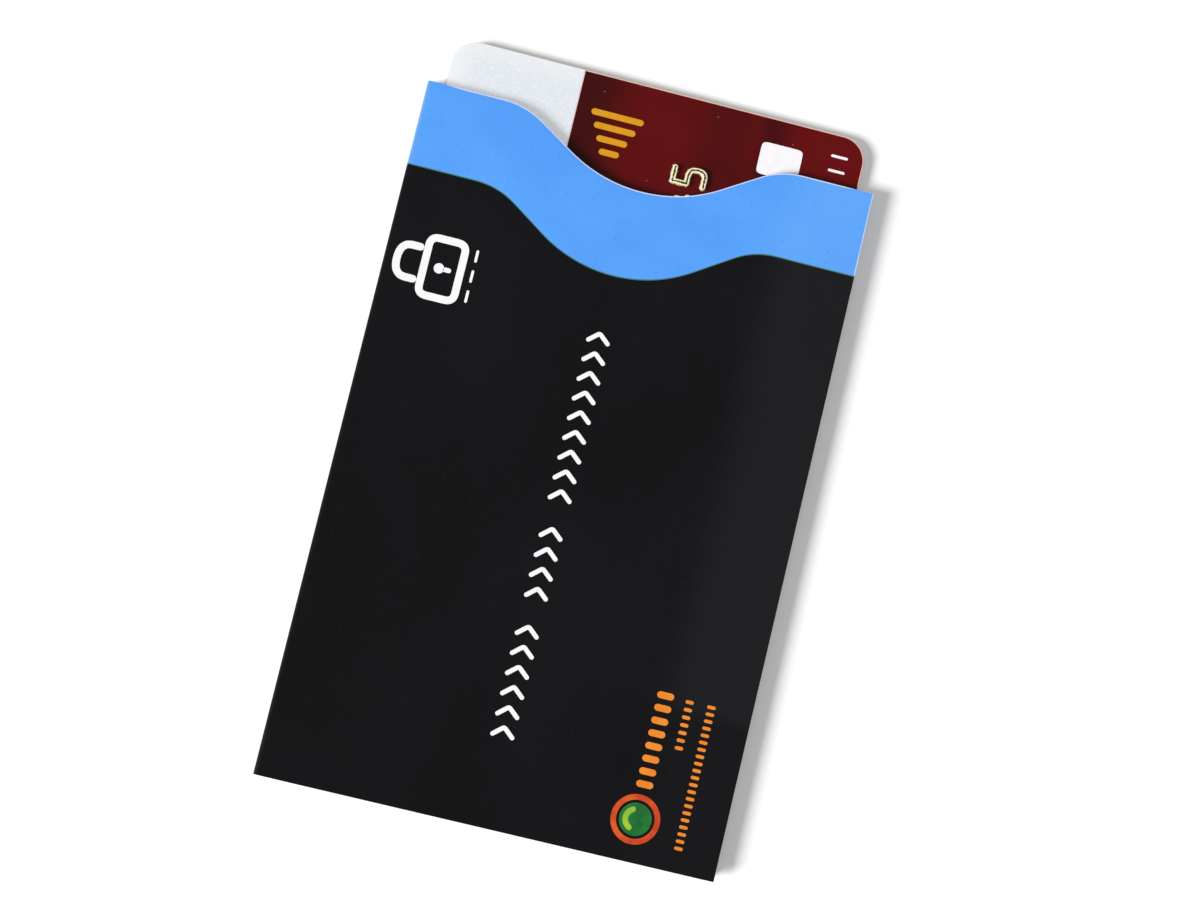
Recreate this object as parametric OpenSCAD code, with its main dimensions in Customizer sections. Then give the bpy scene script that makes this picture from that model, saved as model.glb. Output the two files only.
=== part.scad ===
// Paper card sleeve with a foil shield, and the plastic card that slides in it.
// X runs across the sleeve, Y runs along it towards the mouth, Z rises out of the front.
// The origin is the centre of the back panel's outer face, on which the sleeve lies.

/* [Card] */
// Width of the card, across the sleeve
card_w = 53.98; // [45:0.01:70]
// Length of the card, along the sleeve
card_l = 85.6; // [70:0.1:105]
// Corner radius of the card
card_corner_r = 3.18; // [2:0.01:6]
// Thickness of the clear film on each face of the card
overlay_t = 0.04; // [0.03:0.005:0.06]
// Thickness of the printed core sheet behind each film
core_t = 0.19; // [0.15:0.01:0.25]
// Thickness of the middle sheet that holds the antenna
inlay_t = 0.3; // [0.26:0.01:0.4]
// Length of card that stands out past the sleeve's corners
card_out = 6.5; // [2:0.1:12]

/* [Sleeve] */
// Sleeve width beside the card, on each side
side_play = 2.16; // [2:0.02:5]
// Sleeve length past the card's own length
end_play = 3.2; // [2.4:0.1:8]
// Free space over and under the card in the pocket
pocket_gap = 0.12; // [0.08:0.01:0.4]

/* [Laminate] */
// Thickness of the printed board, the outermost layer
board_t = 0.2; // [0.15:0.01:0.3]
// Thickness of the metal foil behind the board
foil_t = 0.03; // [0.01:0.005:0.06]
// Thickness of the film that lines the pocket
liner_t = 0.05; // [0.03:0.01:0.1]
// Thickness of the glue lines
glue_t = 0.05; // [0.03:0.01:0.1]

/* [Mouth] */
// Depth of the thumb notch
notch_depth = 7.1; // [4:0.1:10]
// Half the width of the notch, from its middle to where the edge is straight again
notch_half = 19.5; // [14:0.1:23]
// Distance of the notch's middle from the sleeve's centre line
notch_shift = 0.2; // [-1:0.1:1]
// Steepness of the notch's sides, as a share of the steepest that its arcs allow
notch_steepness = 0.8; // [0.6:0.01:1]
// Share of the two arc radii that goes to the shoulders
shoulder_share = 0.35; // [0.2:0.01:0.6]

/* [Glue flaps] */
// Width of the flap along the side seam
side_flap_w = 9; // [6:0.1:9]
// Width of the flap along the end seam
end_flap_w = 8; // [5:0.1:9]
// How far the front panel's cut edge stops short of the side fold
side_inset = 0.22; // [0.1:0.01:0.4]
// How far the front panel's cut edge stops short of the end fold
end_inset = 0.1; // [0.05:0.01:0.4]
// Gap from the sleeve's corner to the ends of the folds beside it
corner_relief = 1.2; // [1.1:0.1:2]
// Gap from the spine to the end of the end fold
spine_relief = 2.4; // [2.2:0.1:4]
// How far the free ends of the flaps taper
flap_taper = 2.4; // [1:0.1:4]
// Bare margin around each glue line
glue_margin = 0.5; // [0.3:0.1:1.5]

/* [Raised digits] */
// Height of the digits over the card's face
emboss_h = 0.46; // [0.3:0.02:0.5]
// Height of one digit
digit_h = 4.6; // [3.5:0.1:5]
// Width of one digit
digit_w = 2.6; // [1.8:0.1:2.7]
// Width of the digits' strokes
digit_stroke = 0.6; // [0.4:0.05:0.7]
// Distance from one digit to the next
digit_pitch = 3.63; // [3.3:0.01:3.8]
// First digit's centre from the card's inner end
first_digit = 10.18; // [9:0.01:12]
// Digit row's centre from the card's lower long edge
digit_line = 21.3; // [18:0.1:22]
// Thickness of the metal foil on the digits
tipping_t = 0.03; // [0.02:0.005:0.05]

/* [Chip and antenna] */
// Length of the contact plate, along the card
plate_l = 13; // [12:0.1:14]
// Width of the contact plate
plate_w = 11.8; // [10.8:0.1:12.4]
// Contact plate's centre from the card's inner end
plate_from_end = 15.06; // [14.5:0.01:16]
// Contact plate's centre from the card's upper long edge
plate_from_top = 23.89; // [22:0.01:25]
// Thickness of the contacts
contact_t = 0.035; // [0.02:0.005:0.05]
// Thickness of the tape that carries the contacts
carrier_t = 0.11; // [0.08:0.01:0.14]
// Number of turns of the antenna
coil_turns = 5; // [2:1:5]
// Distance between the antenna's turns
coil_pitch = 0.8; // [0.5:0.05:0.9]
// Width of the antenna's track
track_w = 0.2; // [0.1:0.02:0.3]
// Thickness of the antenna's track
track_t = 0.1; // [0.06:0.01:0.11]

/* [Back of the card] */
// Thickness of the stripe and of the signature panel, both pressed flush into the film
stripe_t = 0.02; // [0.01:0.005:0.025]
// Width of the magnetic stripe
stripe_w = 12.7; // [10:0.1:13]
// Stripe's outer edge from the card's upper long edge
stripe_from_top = 4.6; // [4:0.1:5.5]
// Length of the signature panel
signature_l = 70; // [40:1:76]
// Width of the signature panel
signature_w = 8; // [6:0.1:9]
// Gap between the stripe and the signature panel
signature_gap = 2.2; // [1:0.1:3]

/* [Hidden] */
$fn = 64;

// Overall sizes
sleeve_w = card_w + 2 * side_play;
sleeve_h = card_l + end_play;
card_t = 2 * overlay_t + 2 * core_t + inlay_t;
laminate_t = board_t + foil_t + liner_t;
pocket_h = card_t + emboss_h + 2 * pocket_gap;
sleeve_t = 2 * laminate_t + pocket_h;
mouth_y = sleeve_h / 2;

// How far a cut runs past the face that it opens
over = 1;

// The spine turns through the whole thickness. The seam folds turn under the front panel.
spine_r = sleeve_t / 2;
flap_top_z = sleeve_t - laminate_t - glue_t;
seam_r = flap_top_z / 2;
spine_x = -sleeve_w / 2 + spine_r;
side_x = sleeve_w / 2 - seam_r;
end_y = -sleeve_h / 2 + seam_r;

// Outline of the front panel
front_right_x = sleeve_w / 2 - side_inset;
front_end_y = -sleeve_h / 2 + end_inset;

// Notch: two arcs on each side, joined by a straight stretch
notch_angle = notch_steepness * 2 * atan(notch_depth / notch_half);
arcs_r = (notch_half * sin(notch_angle) - notch_depth * cos(notch_angle)) / (1 - cos(notch_angle));
shoulder_r = shoulder_share * arcs_r;
trough_r = arcs_r - shoulder_r;
shoulder_steps = 8;
trough_steps = 20;

// Card layers, from the back face up
card_z = laminate_t + pocket_gap;
back_core_z = card_z + overlay_t;
inlay_z = back_core_z + core_t;
front_core_z = inlay_z + inlay_t;
front_overlay_z = front_core_z + core_t;
face_z = card_z + card_t;
card_end_y = mouth_y + card_out - card_l;

// Raised digits, four groups of four, counting up from nought
digit_count = 16;
group_size = 4;
relief_h = emboss_h - tipping_t;
tipping_share = 0.75;
tipping_stroke = digit_stroke * tipping_share;
SEGMENTS_LIT = ["abcdef", "bc", "abged", "abgcd", "fgbc", "afgcd", "afgedc", "abc", "abcdefg", "abcdfg"];
SEGMENT_NAMES = "abcdefg";
SEGMENT_ENDS = [
    [[0, 1], [1, 1]], [[1, 1], [1, 0.5]], [[1, 0.5], [1, 0]], [[0, 0], [1, 0]],
    [[0, 0], [0, 0.5]], [[0, 0.5], [0, 1]], [[0, 0.5], [1, 0.5]]
];

// Chip module, set into the card's front face
plate_v = card_w - plate_from_top;
plate_r = 1.2;
module_gap = 0.04;
module_d = contact_t + carrier_t;
carrier_z = face_z - module_d;
ledge_w = 1.95;
resin_l = plate_l - 2 * ledge_w;
resin_w = plate_w - 2 * ledge_w;
resin_gap = 0.04;
resin_h = carrier_z - inlay_z - resin_gap;
contact_gap = 0.16;
contact_rows = 4;
middle_contact_w = 3.2;

// Antenna, a flat coil in the inlay with one bridge over its turns
coil_margin = 3;
bridge_t = 0.08;
bridge_gap = 0.05;
lead_spread = 3.2;
bridge_z = front_core_z - bridge_t;
coil_z = bridge_z - bridge_gap - track_t;
lead_u = plate_from_end - plate_l / 2 + ledge_w / 2;
outer_lead_v = plate_v - lead_spread;
inner_lead_v = plate_v + lead_spread;

// Helpers

// Points along an arc, both ends included
function arc(centre, r, from, to, steps) = [
    for (i = [0:steps])
        let (a = from + (to - from) * i / steps)
            [centre[0] + r * cos(a), centre[1] + r * sin(a)]
];

// The mouth's edge, from the left shoulder to the right shoulder
function mouth_curve() = concat(
    arc([notch_shift - notch_half, mouth_y - shoulder_r], shoulder_r, 90, 90 - notch_angle, shoulder_steps),
    arc([notch_shift, mouth_y - notch_depth + trough_r], trough_r,
        270 - notch_angle, 270 + notch_angle, trough_steps),
    arc([notch_shift + notch_half, mouth_y - shoulder_r], shoulder_r, 90 + notch_angle, 90, shoulder_steps)
);

// Outline of a panel that ends at the mouth
module panel_outline(left_x, right_x, bottom_y) {
    polygon(concat(
        [[left_x, bottom_y], [left_x, mouth_y]],
        mouth_curve(),
        [[right_x, mouth_y], [right_x, bottom_y]]
    ));
}

// A flat sheet of material between two heights
module sheet(z_low, z_high) {
    translate([0, 0, z_low])
        linear_extrude(z_high - z_low)
            children();
}

// Half a tube along +Y from its own origin, bulging to -X
module half_tube(length, r_outer, r_inner) {
    rotate([-90, 0, 0])
        linear_extrude(length)
            difference() {
                circle(r_outer);
                circle(r_inner);
                translate([0, -r_outer - over])
                    square([r_outer + over, 2 * (r_outer + over)]);
            }
}

// A rectangle with rounded corners, from its own lower left corner
module rounded_plate(l, w, r) {
    union() {
        translate([r, 0]) square([l - 2 * r, w]);
        translate([0, r]) square([l, w - 2 * r]);
        for (u = [r, l - r], v = [r, w - r]) translate([u, v]) circle(r);
    }
}

// Draws in the card's own frame: u along the card from its inner end, v up from its lower edge
module on_card(z) {
    translate([card_w / 2, card_end_y, z])
        rotate([0, 0, 90])
            children();
}

// Sleeve laminate. Depths count inwards from the printed face.

module front_layer(from, to) {
    sheet(sleeve_t - to, sleeve_t - from)
        panel_outline(spine_x, front_right_x, front_end_y);
}

module back_layer(from, to) {
    sheet(from, to)
        panel_outline(spine_x, side_x, end_y);
}

module spine_layer(from, to) {
    translate([spine_x, front_end_y, spine_r])
        half_tube(mouth_y - front_end_y, spine_r - from, spine_r - to);
}

module side_fold_layer(from, to) {
    fold_y = -sleeve_h / 2 + corner_relief;
    translate([side_x, mouth_y, seam_r])
        rotate([0, 0, 180])
            half_tube(mouth_y - fold_y, seam_r - from, seam_r - to);
}

module end_fold_layer(from, to) {
    fold_left_x = -sleeve_w / 2 + spine_relief;
    fold_right_x = sleeve_w / 2 - corner_relief;
    translate([fold_right_x, end_y, seam_r])
        rotate([0, 0, 90])
            half_tube(fold_right_x - fold_left_x, seam_r - from, seam_r - to);
}

// Outline of the side flap, mitred where it meets the end flap
module side_flap_outline(margin) {
    inner_x = sleeve_w / 2 - side_flap_w + margin;
    low_y = -sleeve_h / 2 + corner_relief + margin * sqrt(2);
    intersection() {
        polygon([
            [side_x, low_y],
            [side_x, mouth_y - margin],
            [inner_x, mouth_y - flap_taper - margin],
            [inner_x, low_y + side_x - inner_x]
        ]);
        panel_outline(spine_x, sleeve_w / 2, -sleeve_h / 2);
    }
}

// Outline of the end flap, mitred on the right and tapered on the left
module end_flap_outline(margin) {
    top_y = -sleeve_h / 2 + end_flap_w - margin;
    left_x = -sleeve_w / 2 + spine_relief + margin;
    right_x = sleeve_w / 2 - corner_relief - margin * sqrt(2);
    polygon([
        [left_x, end_y],
        [right_x, end_y],
        [right_x - (top_y - end_y), top_y],
        [left_x + flap_taper, top_y]
    ]);
}

module side_flap_layer(from, to) {
    sheet(flap_top_z - to, flap_top_z - from)
        side_flap_outline(0);
}

module end_flap_layer(from, to) {
    sheet(flap_top_z - to, flap_top_z - from)
        end_flap_outline(0);
}

// One layer of the laminate all the way round the folded blank
module folded_layer(from, to) {
    union() {
        front_layer(from, to);
        spine_layer(from, to);
        back_layer(from, to);
        side_fold_layer(from, to);
        side_flap_layer(from, to);
        end_fold_layer(from, to);
        end_flap_layer(from, to);
    }
}

// Sleeve sub-parts

module front_panel() {
    color("#16161a") front_layer(0, board_t);
}

module back_panel() {
    color("#1a1a1e") back_layer(0, board_t);
}

module spine_fold() {
    color("#202024") spine_layer(0, board_t);
}

module side_fold() {
    color("#c8c2ae") side_fold_layer(0, board_t);
}

module side_glue_flap() {
    color("#d6d0c0") side_flap_layer(0, board_t);
}

module end_fold() {
    color("#26262a") end_fold_layer(0, board_t);
}

module end_glue_flap() {
    color("#cfc8b8") end_flap_layer(0, board_t);
}

module foil_shield() {
    color("#b8bcc2") folded_layer(board_t, board_t + foil_t);
}

module inner_liner() {
    color("#eceff2") folded_layer(board_t + foil_t, laminate_t);
}

module side_seam_glue() {
    color("#e6dcaa")
        sheet(flap_top_z, flap_top_z + glue_t)
            side_flap_outline(glue_margin);
}

module end_seam_glue() {
    color("#e6dcaa")
        sheet(flap_top_z, flap_top_z + glue_t)
            end_flap_outline(glue_margin);
}

// Card sub-parts

// One whole layer of the card
module card_layer(z, t) {
    on_card(z)
        linear_extrude(t)
            rounded_plate(card_l, card_w, card_corner_r);
}

// Outline of a rectangle centred on the chip module
module chip_outline(l, w, r) {
    translate([plate_from_end - l / 2, plate_v - w / 2])
        rounded_plate(l, w, r);
}

// Room for the chip module: a shallow pocket for the tape and a hole for the resin,
// down to the back core
module chip_pocket() {
    on_card(carrier_z)
        linear_extrude(module_d + over)
            chip_outline(plate_l + 2 * module_gap, plate_w + 2 * module_gap, plate_r + module_gap);
    on_card(inlay_z - over)
        linear_extrude(face_z - inlay_z + 2 * over)
            chip_outline(resin_l + 2 * resin_gap, resin_w + 2 * resin_gap, plate_r);
}

// One stroke of a digit, from one end to the other
module stroke(ends, width) {
    run = ends[1] - ends[0];
    translate(ends[0]) {
        circle(d = width, $fn = 24);
        rotate(atan2(run[1], run[0]))
            translate([0, -width / 2])
                square([norm(run), width]);
    }
    translate(ends[1]) circle(d = width, $fn = 24);
}

// One digit about its own centre, of straight strokes
module digit(value, width) {
    span = [digit_w - digit_stroke, digit_h - digit_stroke];
    for (name = SEGMENTS_LIT[value]) {
        ends = SEGMENT_ENDS[search(name, SEGMENT_NAMES)[0]];
        stroke([for (p = ends) [(p[0] - 0.5) * span[0], (p[1] - 0.5) * span[1]]], width);
    }
}

// The whole row of digits, between two heights
module digit_row(z, height, width) {
    for (i = [0:digit_count - 1]) {
        place = i + floor(i / group_size);
        on_card(z)
            translate([first_digit + place * digit_pitch, digit_line])
                linear_extrude(height)
                    digit(i % 10, width);
    }
}

module card_front_overlay() {
    color("#6a1216")
        difference() {
            card_layer(front_overlay_z, overlay_t);
            chip_pocket();
        }
}

module card_front_core() {
    color("#7a1a1c")
        difference() {
            card_layer(front_core_z, core_t);
            chip_pocket();
            antenna_tracks();
        }
}

module card_inlay() {
    color("#f2ead8")
        difference() {
            card_layer(inlay_z, inlay_t);
            chip_pocket();
            antenna_tracks();
        }
}

module card_back_core() {
    color("#ddd6c8") card_layer(back_core_z, core_t);
}

module card_back_overlay() {
    color("#cfd3d8")
        difference() {
            card_layer(card_z, overlay_t);
            stripe_body(over);
            signature_body(over);
        }
}

module raised_digits() {
    color("#701418") digit_row(face_z, relief_h, digit_stroke);
}

module digit_tipping() {
    color("#d8b45a") digit_row(face_z + relief_h, tipping_t, tipping_stroke);
}

// A straight piece of track between two points of the card's face
module track(from, to) {
    low = [min(from[0], to[0]), min(from[1], to[1])];
    high = [max(from[0], to[0]), max(from[1], to[1])];
    translate(low - [track_w, track_w] / 2)
        square(high - low + [track_w, track_w]);
}

// Distance of one turn of the coil from the card's edges
function turn_inset(k) = coil_margin + k * coil_pitch;

// The coil's path, from its outer end to its inner end
function coil_path() = concat(
    [[turn_inset(0), outer_lead_v]],
    [for (k = [0:coil_turns - 1])
        each [
            [turn_inset(k), turn_inset(k)],
            [card_l - turn_inset(k), turn_inset(k)],
            [card_l - turn_inset(k), card_w - turn_inset(k)],
            [turn_inset(k + 1), card_w - turn_inset(k)]
        ]],
    [[turn_inset(coil_turns), inner_lead_v], [lead_u, inner_lead_v]]
);

module antenna_tracks() {
    path = coil_path();
    outer_end = [turn_inset(0), outer_lead_v];
    bridge_end = [lead_u, outer_lead_v];
    inner_end = [lead_u, inner_lead_v];
    on_card(coil_z)
        linear_extrude(track_t)
            for (i = [1:len(path) - 1]) track(path[i - 1], path[i]);
    on_card(bridge_z)
        linear_extrude(front_core_z - bridge_z)
            track(outer_end, bridge_end);
    on_card(coil_z)
        linear_extrude(front_core_z - coil_z)
            track(outer_end, outer_end);
    on_card(bridge_z)
        linear_extrude(carrier_z - bridge_z)
            track(bridge_end, bridge_end);
    on_card(coil_z)
        linear_extrude(carrier_z - coil_z)
            track(inner_end, inner_end);
}

module card_antenna() {
    color("#c47a3c") antenna_tracks();
}

module chip_contacts() {
    row_w = plate_w / contact_rows;
    side_l = (plate_l - middle_contact_w) / 2;
    color("#d9b25c")
        on_card(carrier_z + carrier_t)
            linear_extrude(contact_t)
                intersection() {
                    chip_outline(plate_l, plate_w, plate_r);
                    translate([plate_from_end - plate_l / 2, plate_v - plate_w / 2])
                        for (row = [0:contact_rows - 1]) {
                            translate([0, row * row_w + contact_gap / 2])
                                square([side_l - contact_gap / 2, row_w - contact_gap]);
                            translate([plate_l - side_l + contact_gap / 2, row * row_w + contact_gap / 2])
                                square([side_l - contact_gap / 2, row_w - contact_gap]);
                        }
                }
}

module chip_carrier() {
    color("#3c4a34")
        on_card(carrier_z)
            linear_extrude(carrier_t)
                chip_outline(plate_l, plate_w, plate_r);
}

module chip_resin() {
    color("#18181a")
        on_card(carrier_z - resin_h)
            linear_extrude(resin_h)
                chip_outline(resin_l, resin_w, plate_r);
}

// The magnetic stripe, with a choice of how far it reaches past the card's back and ends
module stripe_body(below) {
    on_card(card_z - below)
        linear_extrude(stripe_t + below)
            translate([-below, card_w - stripe_from_top - stripe_w])
                square([card_l + 2 * below, stripe_w]);
}

// The signature panel, made the same way
module signature_body(below) {
    panel_v = card_w - stripe_from_top - stripe_w - signature_gap - signature_w;
    on_card(card_z - below)
        linear_extrude(stripe_t + below)
            translate([(card_l - signature_l) / 2, panel_v])
                square([signature_l, signature_w]);
}

module magnetic_stripe() {
    color("#241c18") stripe_body(0);
}

module signature_panel() {
    color("#f4f4f0") signature_body(0);
}

front_panel();
back_panel();
spine_fold();
side_fold();
side_glue_flap();
end_fold();
end_glue_flap();
foil_shield();
inner_liner();
side_seam_glue();
end_seam_glue();
card_front_overlay();
card_front_core();
card_inlay();
card_antenna();
card_back_core();
card_back_overlay();
raised_digits();
digit_tipping();
chip_contacts();
chip_carrier();
chip_resin();
magnetic_stripe();
signature_panel();
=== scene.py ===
"""Looks of a foil-lined card sleeve with a plastic card standing in its mouth.

X runs across the sleeve, Y along it towards the mouth and Z up out of its front. Sizes are in
millimetres until a mesh is made. The sleeve is one folded sheet of three layers, worked out as a
profile that is carried along Y. The card slides in it.
"""

from __future__ import annotations

import logging
import math
from dataclasses import dataclass
from enum import Enum, IntEnum
from functools import cache
from typing import Callable, Sequence, Union

import bmesh
import bpy
import numpy as np
from mathutils import Matrix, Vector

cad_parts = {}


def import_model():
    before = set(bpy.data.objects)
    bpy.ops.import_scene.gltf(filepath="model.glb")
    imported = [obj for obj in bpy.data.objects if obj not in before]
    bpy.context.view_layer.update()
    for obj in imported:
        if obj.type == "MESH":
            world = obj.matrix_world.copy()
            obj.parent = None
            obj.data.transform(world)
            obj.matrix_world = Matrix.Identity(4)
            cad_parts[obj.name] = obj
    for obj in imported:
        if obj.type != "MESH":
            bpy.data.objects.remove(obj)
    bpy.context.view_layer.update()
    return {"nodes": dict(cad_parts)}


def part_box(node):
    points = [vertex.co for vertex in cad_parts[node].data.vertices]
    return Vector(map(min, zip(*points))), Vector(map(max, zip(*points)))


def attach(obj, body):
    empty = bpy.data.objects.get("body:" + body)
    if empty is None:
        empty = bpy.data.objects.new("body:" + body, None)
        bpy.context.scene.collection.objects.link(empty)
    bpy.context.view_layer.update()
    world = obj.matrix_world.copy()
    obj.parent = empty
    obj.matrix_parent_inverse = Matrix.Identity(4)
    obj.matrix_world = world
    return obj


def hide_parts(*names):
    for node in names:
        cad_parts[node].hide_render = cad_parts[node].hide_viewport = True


LOG = logging.getLogger("card_sleeve")
MM = 0.001

Vec2 = tuple[float, float]
Vec3 = tuple[float, float, float]
Colour = tuple[float, float, float, float]
Heights = Callable[[np.ndarray, np.ndarray], np.ndarray]
Socket = bpy.types.NodeSocket
Value = Union[Socket, float]
Paint = Union[Socket, Colour]


class Body(Enum):
    """The bodies that a piece can ride on."""

    SLEEVE = "sleeve"
    CARD = "card"


class Slot(Enum):
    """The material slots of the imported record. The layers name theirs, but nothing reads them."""

    PRINTED_BOARD = "printed_board"
    FOIL = "foil"
    LINER_FILM = "liner_film"
    CARD_FACE = "card_face"


def screen(red: int, green: int, blue: int) -> Colour:
    """The shader's colour for a colour as it looks on a screen.

    Each channel c from 0 to 1 becomes ((c + 0.055) / 1.055) to the power 2.4, or c / 12.92 near black.

    Args:
        red, green, blue: the channels, from 0 to 255.

    Returns:
        The linear colour, with full alpha.
    """
    channels = np.array([red, green, blue]) / 255
    linear = np.where(channels > 0.04045, ((channels + 0.055) / 1.055) ** 2.4, channels / 12.92)
    return (*linear.tolist(), 1.0)


def smooth(value: np.ndarray | float, low: float, high: float) -> np.ndarray:
    """A smooth rise from 0 at low to 1 at high: 3 t squared less 2 t cubed.

    Args:
        value: where it is taken.
        low, high: the ends of the rise. With low above high it falls instead.

    Returns:
        The rise at each value.
    """
    t = np.clip((np.asarray(value, float) - low) / (high - low), 0, 1)
    return t * t * (3 - 2 * t)


# Finishes


# Where smooth noise counts as low and as high
SPREAD: Vec2 = (0.3, 0.7)


class Shading:
    """A material being built, with short ways to add the nodes that the finishes share."""

    def __init__(self, name: str) -> None:
        """Start a material, with its pattern coordinates in millimetres of the object's frame.

        Args:
            name: the material's name.
        """
        self.material = bpy.data.materials.new(name)
        self.material.use_nodes = True
        self.nodes = self.material.node_tree.nodes
        self.links = self.material.node_tree.links
        self.shader = self.nodes["Principled BSDF"]
        coordinates = self.nodes.new("ShaderNodeTexCoord")
        self.place = self._mapped(coordinates.outputs["Object"], (1 / MM,) * 3, 0.0)

    def _mapped(self, vector: Socket, scale: Sequence[float], shift: float) -> Socket:
        """The vector, scaled and shifted by a Mapping node.

        Args:
            vector: the coordinates.
            scale: what each of them is multiplied by.
            shift: what is then added to each.

        Returns:
            The new coordinates.
        """
        mapping = self.nodes.new("ShaderNodeMapping")
        mapping.inputs["Scale"].default_value = scale
        mapping.inputs["Location"].default_value = (shift,) * 3
        self.links.new(vector, mapping.inputs["Vector"])
        return mapping.outputs["Vector"]

    def _feed(self, socket: Socket, value: Value | Paint) -> None:
        """Set a socket to a constant, or link it to another socket."""
        if isinstance(value, bpy.types.NodeSocket):
            self.links.new(value, socket)
        else:
            socket.default_value = value

    def set(self, name: str, value: Value | Paint) -> None:
        """Set or link one of the shader's own sockets."""
        self._feed(self.shader.inputs[name], value)

    def noise(self, size: float | Vec3, detail: float = 2.0, shift: float = 0.0) -> Socket:
        """Smooth noise from 0 to 1.

        Args:
            size: size of its blotches in millimetres, one number or one along each axis.
            detail: how many finer layers it has.
            shift: moves it, so that two noises of one size differ.

        Returns:
            The noise.
        """
        sizes = size if isinstance(size, tuple) else (size,) * 3
        texture = self.nodes.new("ShaderNodeTexNoise")
        self.links.new(self._mapped(self.place, [1 / s for s in sizes], shift), texture.inputs["Vector"])
        texture.inputs["Scale"].default_value = 1.0
        texture.inputs["Detail"].default_value = detail
        return texture.outputs["Fac"]

    def specks(self, spacing: float, radius: float, shift: float = 0.0) -> Socket:
        """Round specks over X and Y, 1 in the middle of each and 0 between them.

        Args:
            spacing: mean distance between them in millimetres.
            radius: radius of a speck in millimetres.
            shift: moves them.

        Returns:
            The specks.
        """
        cells = self.nodes.new("ShaderNodeTexVoronoi")
        cells.voronoi_dimensions = "2D"
        self.links.new(self._mapped(self.place, (1 / spacing,) * 3, shift), cells.inputs["Vector"])
        cells.inputs["Scale"].default_value = 1.0
        return self.rise(cells.outputs["Distance"], radius / spacing, 0.5 * radius / spacing)

    def rise(self, value: Value, low: float, high: float, bottom: float = 0.0, top: float = 1.0) -> Socket:
        """A clamped, smooth rise of a value.

        Args:
            value: what it follows.
            low, high: where the rise begins and ends.
            bottom, top: the results there.

        Returns:
            The result.
        """
        node = self.nodes.new("ShaderNodeMapRange")
        node.interpolation_type = "SMOOTHSTEP"
        self._feed(node.inputs["Value"], value)
        falls = low > high
        node.inputs["From Min"].default_value = high if falls else low
        node.inputs["From Max"].default_value = low if falls else high
        node.inputs["To Min"].default_value = top if falls else bottom
        node.inputs["To Max"].default_value = bottom if falls else top
        return node.outputs["Result"]

    def reckon(self, operation: str, first: Value, second: Value) -> Socket:
        """A Math node's result for two values.

        Args:
            operation: the node's operation.
            first, second: the values.

        Returns:
            The result.
        """
        node = self.nodes.new("ShaderNodeMath")
        node.operation = operation
        self._feed(node.inputs[0], first)
        self._feed(node.inputs[1], second)
        return node.outputs["Value"]

    def both(self, first: Value, second: Value) -> Socket:
        """The product of two shares."""
        return self.reckon("MULTIPLY", first, second)

    def blend(self, share: Value, first: Paint, second: Paint) -> Socket:
        """A colour between two others.

        Args:
            share: 0 for the first, 1 for the second.
            first, second: the colours.

        Returns:
            The colour between them.
        """
        node = self.nodes.new("ShaderNodeMix")
        node.data_type = "RGBA"
        self._feed(node.inputs["Factor"], share)
        self._feed(node.inputs["A"], first)
        self._feed(node.inputs["B"], second)
        return node.outputs["Result"]

    def axis(self, name: str) -> Socket:
        """The place along one axis in millimetres.

        Args:
            name: X, Y or Z.

        Returns:
            The place.
        """
        node = self.nodes.new("ShaderNodeSeparateXYZ")
        self.links.new(self.place, node.inputs["Vector"])
        return node.outputs[name]

    def attribute(self, name: str) -> Socket:
        """A number that the mesh stores at its vertices.

        Args:
            name: the attribute's name.

        Returns:
            The number.
        """
        node = self.nodes.new("ShaderNodeAttribute")
        node.attribute_name = name
        return node.outputs["Fac"]

    def relief(self, height: Socket, depth: float) -> None:
        """Bend the shader's normals by a height.

        Args:
            height: the height, from 0 to 1.
            depth: what a height of 1 stands for in millimetres.
        """
        node = self.nodes.new("ShaderNodeBump")
        node.inputs["Distance"].default_value = depth * MM
        self.links.new(height, node.inputs["Height"])
        self.links.new(node.outputs["Normal"], self.shader.inputs["Normal"])


@dataclass(frozen=True)
class Finish:
    """A surface of one colour that drifts towards another, with uneven gloss and a fine relief.

    Attributes:
        name: the material's name.
        colour, drift: the two colours.
        blotch: size of the drift's blotches in millimetres.
        roughness: the lowest and highest roughness.
        grain, grain_depth: size and depth of the relief in millimetres.
        metallic, specular: the shader's own values.
    """

    name: str
    colour: Colour
    drift: Colour
    blotch: float | Vec3 = 6.0
    roughness: Vec2 = (0.4, 0.55)
    grain: float | Vec3 = 0.3
    grain_depth: float = 0.004
    metallic: float = 0.0
    specular: float = 0.4

    def colours(self, shading: Shading) -> Socket:
        """The colour all over the surface."""
        drifting = shading.rise(shading.noise(self.blotch, detail=3.0), *SPREAD)
        return shading.blend(drifting, self.colour, self.drift)

    def gloss(self, shading: Shading) -> Socket:
        """The roughness all over the surface."""
        return shading.rise(shading.noise(self.blotch, shift=5.0), *SPREAD, *self.roughness)

    def metal(self, shading: Shading) -> Value:
        """How metallic the surface is."""
        return self.metallic

    def material(self) -> bpy.types.Material:
        """Build the material.

        Returns:
            The material.
        """
        shading = Shading(self.name)
        shading.set("Base Color", self.colours(shading))
        shading.set("Roughness", self.gloss(shading))
        shading.set("Metallic", self.metal(shading))
        shading.set("Specular IOR Level", self.specular)
        shading.relief(shading.noise(self.grain, shift=9.0), self.grain_depth)
        return shading.material


@dataclass(frozen=True)
class Ink(Finish):
    """Level ink on the sleeve, as its small marks have it."""

    roughness: Vec2 = (0.35, 0.45)
    grain: float | Vec3 = 0.5
    grain_depth: float = 0.0025
    specular: float = 0.08


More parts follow.
